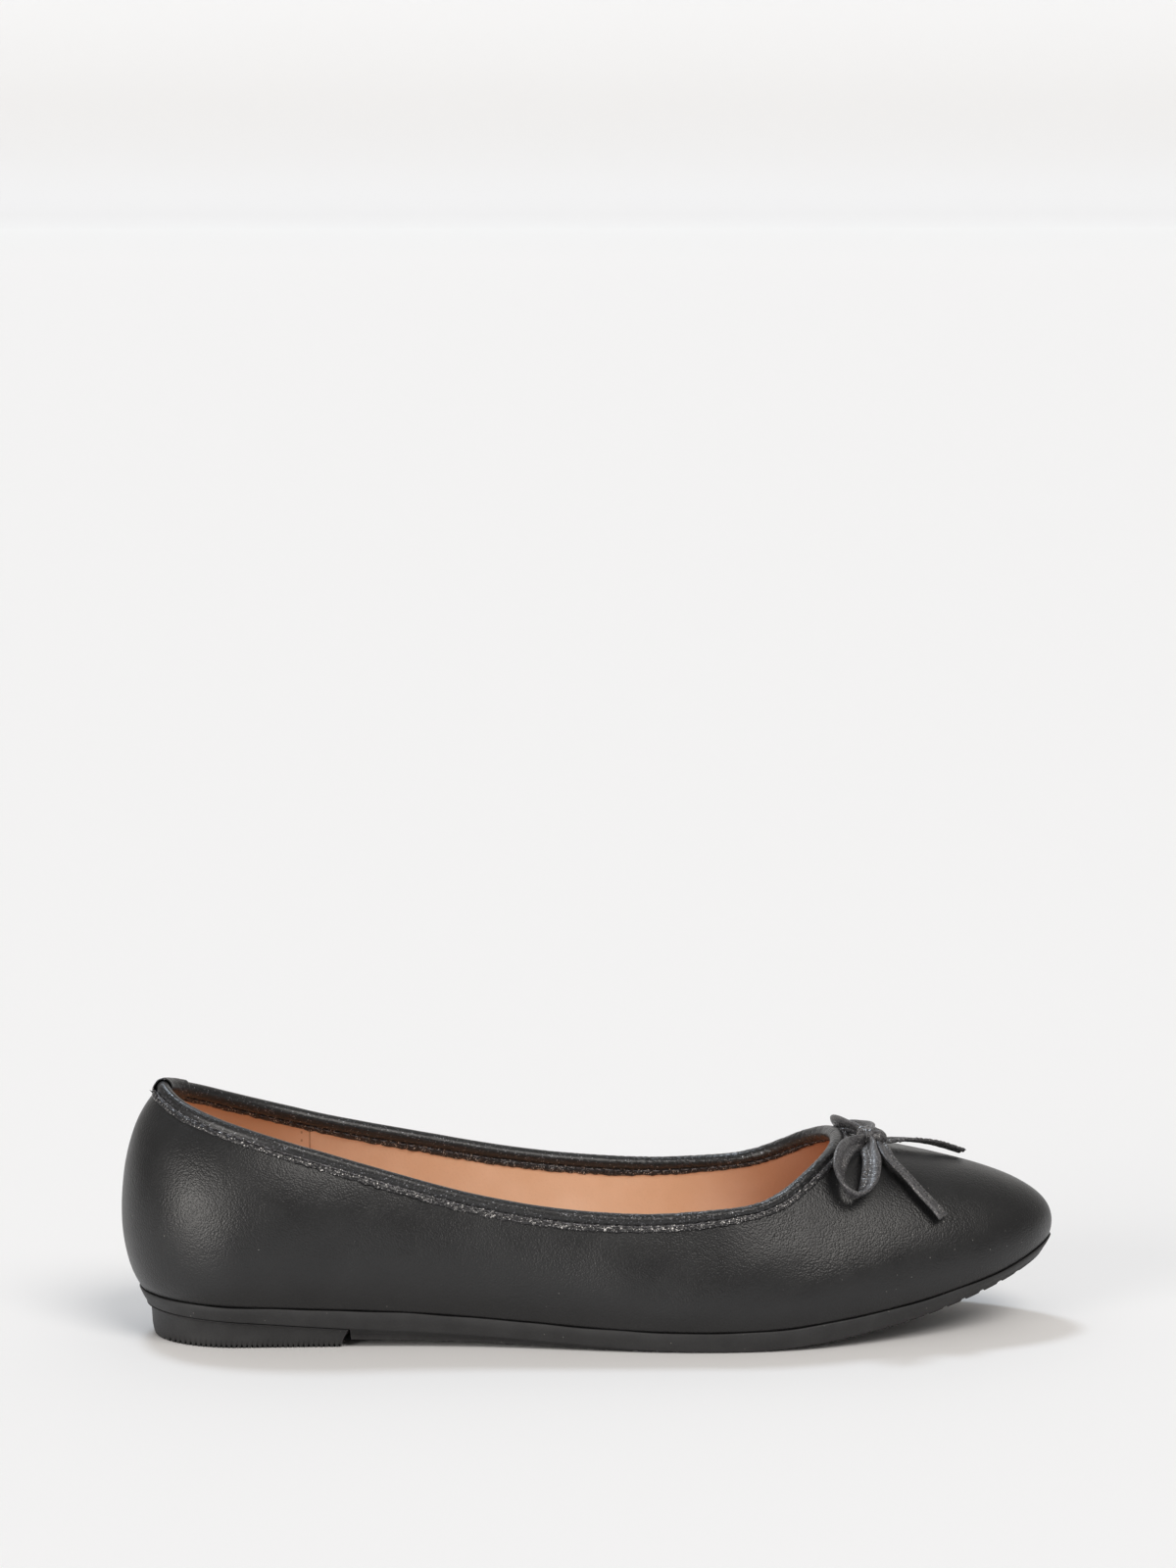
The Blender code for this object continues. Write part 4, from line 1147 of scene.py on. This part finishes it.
def make_knot():
    """The knot: a tight core with the ribbon's passes pulled over it, all crushed together."""
    seat, forward, aside, up = KNOT
    centre = seat + up * (KNOT_HEIGHT / 2 + GAP)
    size = np.array([KNOT_LENGTH, KNOT_WIDTH, KNOT_HEIGHT]) / 2
    ways = np.stack([forward, aside, up])
    turn = np.linspace(0, 2 * pi, 110, endpoint=False)
    lift, turn = np.meshgrid(np.linspace(0, pi, 70), turn, indexing="ij")
    ball = np.stack([np.sin(lift) * np.cos(turn), np.sin(lift) * np.sin(turn), np.cos(lift)], axis=-1)
    ball /= np.max(np.abs(ball), axis=-1, keepdims=True) ** 0.35
    core = ball * size * (0.96, 0.96, 0.90)
    fold = 1 - 2 * np.abs(ripple(core * (1.0, 0.45, 0.45), 0.0024, 2.0))
    core *= (1 + 0.16 * fold - 0.10)[..., None]
    places = crumple(centre + core @ ways, 1.3 * MM, 0.16 * MM)
    core = net("bow_knot_core", places, (sewn_tape,), round_columns=True)
    settle(core, "tape", "bow_knot")
    section = [(place, high) for place, high, _ in RIBBON_SECTION]
    section += [(place, -high) for place, high, _ in RIBBON_SECTION[::-1]]
    hem = [gathers >= HEM_GATHERS for _, _, gathers in RIBBON_SECTION]
    hem = np.array(hem + hem[::-1])
    rounds = np.linspace(0, 2 * pi, 96, endpoint=False)
    for number, (pass_turn, shift, lean, width, height) in enumerate(KNOT_PASSES):
        turned = radians(pass_turn)
        ahead = cos(turned) * forward + sin(turned) * aside
        beside = -sin(turned) * forward + cos(turned) * aside
        reach = 1 / sqrt((cos(turned) / size[0]) ** 2 + (sin(turned) / size[1]) ** 2)
        columns = []
        for place, high in section:
            out = 1 - 0.10 * place ** 2
            level = (reach * 0.94 + (height + high * 0.5) * MM) * out * np.sign(np.cos(rounds))
            level *= np.abs(np.cos(rounds)) ** 0.75
            rise = (size[2] * 0.70 + (height + high * 0.5) * MM) * out * np.sign(np.sin(rounds))
            rise *= np.abs(np.sin(rounds)) ** 0.75
            wide = place * width / 2 * (1 - 0.25 * np.abs(np.cos(rounds)))
            over = (shift + lean * np.sin(rounds) + wide) * MM
            columns.append(centre + level[:, None] * ahead + rise[:, None] * up + over[:, None] * beside)
        places = crumple(np.stack(columns, axis=1), 1.3 * MM, 0.22 * MM)
        made = net("bow_knot_pass_%d" % (number + 1), places, (bow_tape, sewn_tape),
                   lambda row, column: hem[column].astype(int), round_rows=True, round_columns=True)
        settle(made, "tape")


# The length of a stitch in the ribbon's hem
HEM_STITCH = 0.0014


def ribbon_way(table, length, stations):
    """Middle points of a ribbon over the vamp, the vamp's normals there, its turn and its width."""
    numbered = [(index / (len(table) - 1),) + row for index, row in enumerate(table)]
    coarse = np.linspace(0, 1, 34)
    forward, aside, rise, turn, width = (through(numbered, column, coarse) for column in range(1, 6))
    rows = []
    for index, share in enumerate(coarse):
        seat, up = vamp_seat(KNOT[0][0] + length * forward[index], KNOT[0][1] + length * aside[index])
        middle = seat + up * RIBBON_WIDTH * rise[index]
        rows.append((share, *middle, *up, radians(turn[index]), width[index]))
    share = np.linspace(0, 1, stations)
    smooth = np.stack([through(rows, column, share) for column in range(1, 9)], axis=-1)
    return smooth[:, :3], smooth[:, 3:6], smooth[:, 6], smooth[:, 7]


def make_ribbon(name, table, length, stations, node, hem_side):
    """A ribbon of folded tape: a soft roll along one edge and a sewn, gathered hem along the other."""
    points, normals, turns, widths = ribbon_way(table, length, stations)
    ways = np.gradient(points, axis=0)
    ways /= np.linalg.norm(ways, axis=1, keepdims=True)
    across = np.cross(normals, ways)
    across /= np.linalg.norm(across, axis=1, keepdims=True)
    up = np.cross(ways, across)
    wide = np.cos(turns)[:, None] * across + np.sin(turns)[:, None] * up
    thick = np.cross(ways, wide)
    way = arc_lengths(points)
    half = RIBBON_WIDTH / 2 * widths
    end = np.clip((way - way[-1] + 0.8 * MM) / (0.8 * MM), 0, 1)
    columns, hem = [], []
    for face in (1, -1):
        for place, thickness, gathers in RIBBON_SECTION[::face]:
            near = points + wide * (place * half)[:, None] + thick * face * 0.0005
            phase = way / HEM_STITCH + 0.5 * ripple(near, 0.0040, 2.0)
            pucker = np.abs(np.sin(pi * phase)) ** 0.7 - 0.6
            lift = thickness + gathers * 0.17 * pucker + (0.05 + 0.14 * gathers) * ripple(near, 0.0010, 6.0)
            edge = hem_side * place * half * (1 + 0.05 * gathers * ripple(near, 0.0018, 8.0))
            ragged = 0.5 * MM * end * ripple(near, 0.0009, 12.0)
            lift = np.maximum(lift, 0.04) * face * MM
            columns.append(points + wide * edge[:, None] + thick * lift[:, None] + ways * ragged[:, None])
            hem.append(gathers >= HEM_GATHERS)
    hem = np.array(hem)
    ribbon = net(name, with_ends(np.stack(columns, axis=1)), (bow_tape, sewn_tape),
                 lambda row, column: hem[column].astype(int), round_columns=True)
    settle(ribbon, "tape", node)


# The studio

# The camera's distance and angles to the shoe, and its long lens, as in the photograph
CAMERA_DISTANCE = 1.5
CAMERA_TURN = radians(-3)
CAMERA_RISE = radians(11.5)
CAMERA_PITCH = radians(7.066)
CAMERA_SEES = (-0.00097, 0.0, 0.0293)

# How bright the room's walls and ceiling are beside the white paper, and how much brighter
# the lit wall behind the shoe is
ROOM_WALLS = 0.23
ROOM_CEILING = 0.37
ROOM_BACK = 0.60


def make_camera():
    """The camera looks over the shoe, so that the shoe stands low in the frame."""
    data = bpy.data.cameras.new("camera")
    data.sensor_fit = "VERTICAL"
    data.sensor_height = 36.0
    data.lens = 128.25
    level = cos(CAMERA_RISE)
    back = Vector((sin(CAMERA_TURN) * level, -cos(CAMERA_TURN) * level, sin(CAMERA_RISE)))
    camera = bpy.data.objects.new("camera", data)
    camera.location = Vector(CAMERA_SEES) + CAMERA_DISTANCE * back
    camera.rotation_euler = (pi / 2 - CAMERA_PITCH, 0, CAMERA_TURN)
    bpy.context.scene.collection.objects.link(camera)
    bpy.context.scene.camera = camera


def make_floor():
    """A paper sweep: flat under the shoe, then curved up far behind it."""
    radius, high = 1.5, 0.2
    bend = np.linspace(0, pi / 2, 24)
    line = [(-6.0, 0.0)] + [(FLAT_PAPER + radius * sin(turn), radius * (1 - cos(turn))) for turn in bend]
    line.append((FLAT_PAPER + radius, radius + high))
    places = np.array([[(x, y, z) for y, z in line] for x in (-7.0, 7.0)])
    floor = net("paper_sweep", places, (paper,))


def softbox(name, towards, angle, strength, colour):
    """A large softbox far away in a direction, as wide as an angle, that lights all evenly."""
    data = bpy.data.lights.new(name, "SUN")
    data.angle = radians(angle)
    data.energy = strength
    data.color = linear(colour)[:3]
    lamp = bpy.data.objects.new(name, data)
    lamp.rotation_euler = Vector(towards).to_track_quat("Z", "Y").to_euler()
    bpy.context.scene.collection.objects.link(lamp)


def make_room():
    """A warm white room: dim walls, a lighter ceiling and a lit wall behind the shoe."""
    world = bpy.data.worlds.new("studio_room")
    bpy.context.scene.world = world
    world.use_nodes = True
    tree = world.node_tree
    towards = add(tree, "ShaderNodeTexCoord").outputs["Generated"]
    towards = add(tree, "ShaderNodeSeparateXYZ", {"Vector": towards})
    back = between(tree, towards.outputs["Y"], 0.0, 1.0)
    back = add(tree, "ShaderNodeMath", {0: back}, {1: 2.0}, operation="POWER").outputs[0]
    back = add(tree, "ShaderNodeMath", {0: back}, {1: ROOM_BACK}, operation="MULTIPLY").outputs[0]
    above = between(tree, towards.outputs["Z"], 0.0, 1.0, ROOM_WALLS, ROOM_CEILING)
    light = add(tree, "ShaderNodeMath", {0: above, 1: back}, operation="ADD").outputs[0]
    tree.links.new(light, tree.nodes["Background"].inputs["Strength"])
    tree.nodes["Background"].inputs["Color"].default_value = linear("#fffcf8")


def make_lights():
    """A low warm key from the left front, a warm fill from above the camera, a cool top light."""
    bpy.context.scene.view_settings.view_transform = "Standard"
    softbox("key_light", (-0.68, -0.72, 0.18), 30, 1.60, "#fffbf6")
    softbox("front_light", (0.30, -0.61, 0.73), 30, 1.36, "#fffbf6")
    softbox("top_light", (-0.20, 0.46, 0.87), 11, 0.92, "#e5f2ff")


make_camera()
make_upper()
make_sole()
make_heel()
make_insole()
make_binding()
make_binding_end()
make_stitches()
make_knot()
make_ribbon("ribbon_loop_lateral", LATERAL_LOOP, LOOP_LENGTH, 260, "bow_loop_lateral", 1)
make_ribbon("ribbon_loop_medial", MEDIAL_LOOP, LOOP_LENGTH, 240, "bow_loop_medial", -1)
make_ribbon("ribbon_tail_lateral", LATERAL_TAIL, TAIL_LENGTH, 160, "bow_tail_lateral", 1)
make_ribbon("ribbon_tail_medial", MEDIAL_TAIL, TAIL_LENGTH, 160, "bow_tail_medial", -1)
make_floor()
make_room()
make_lights()
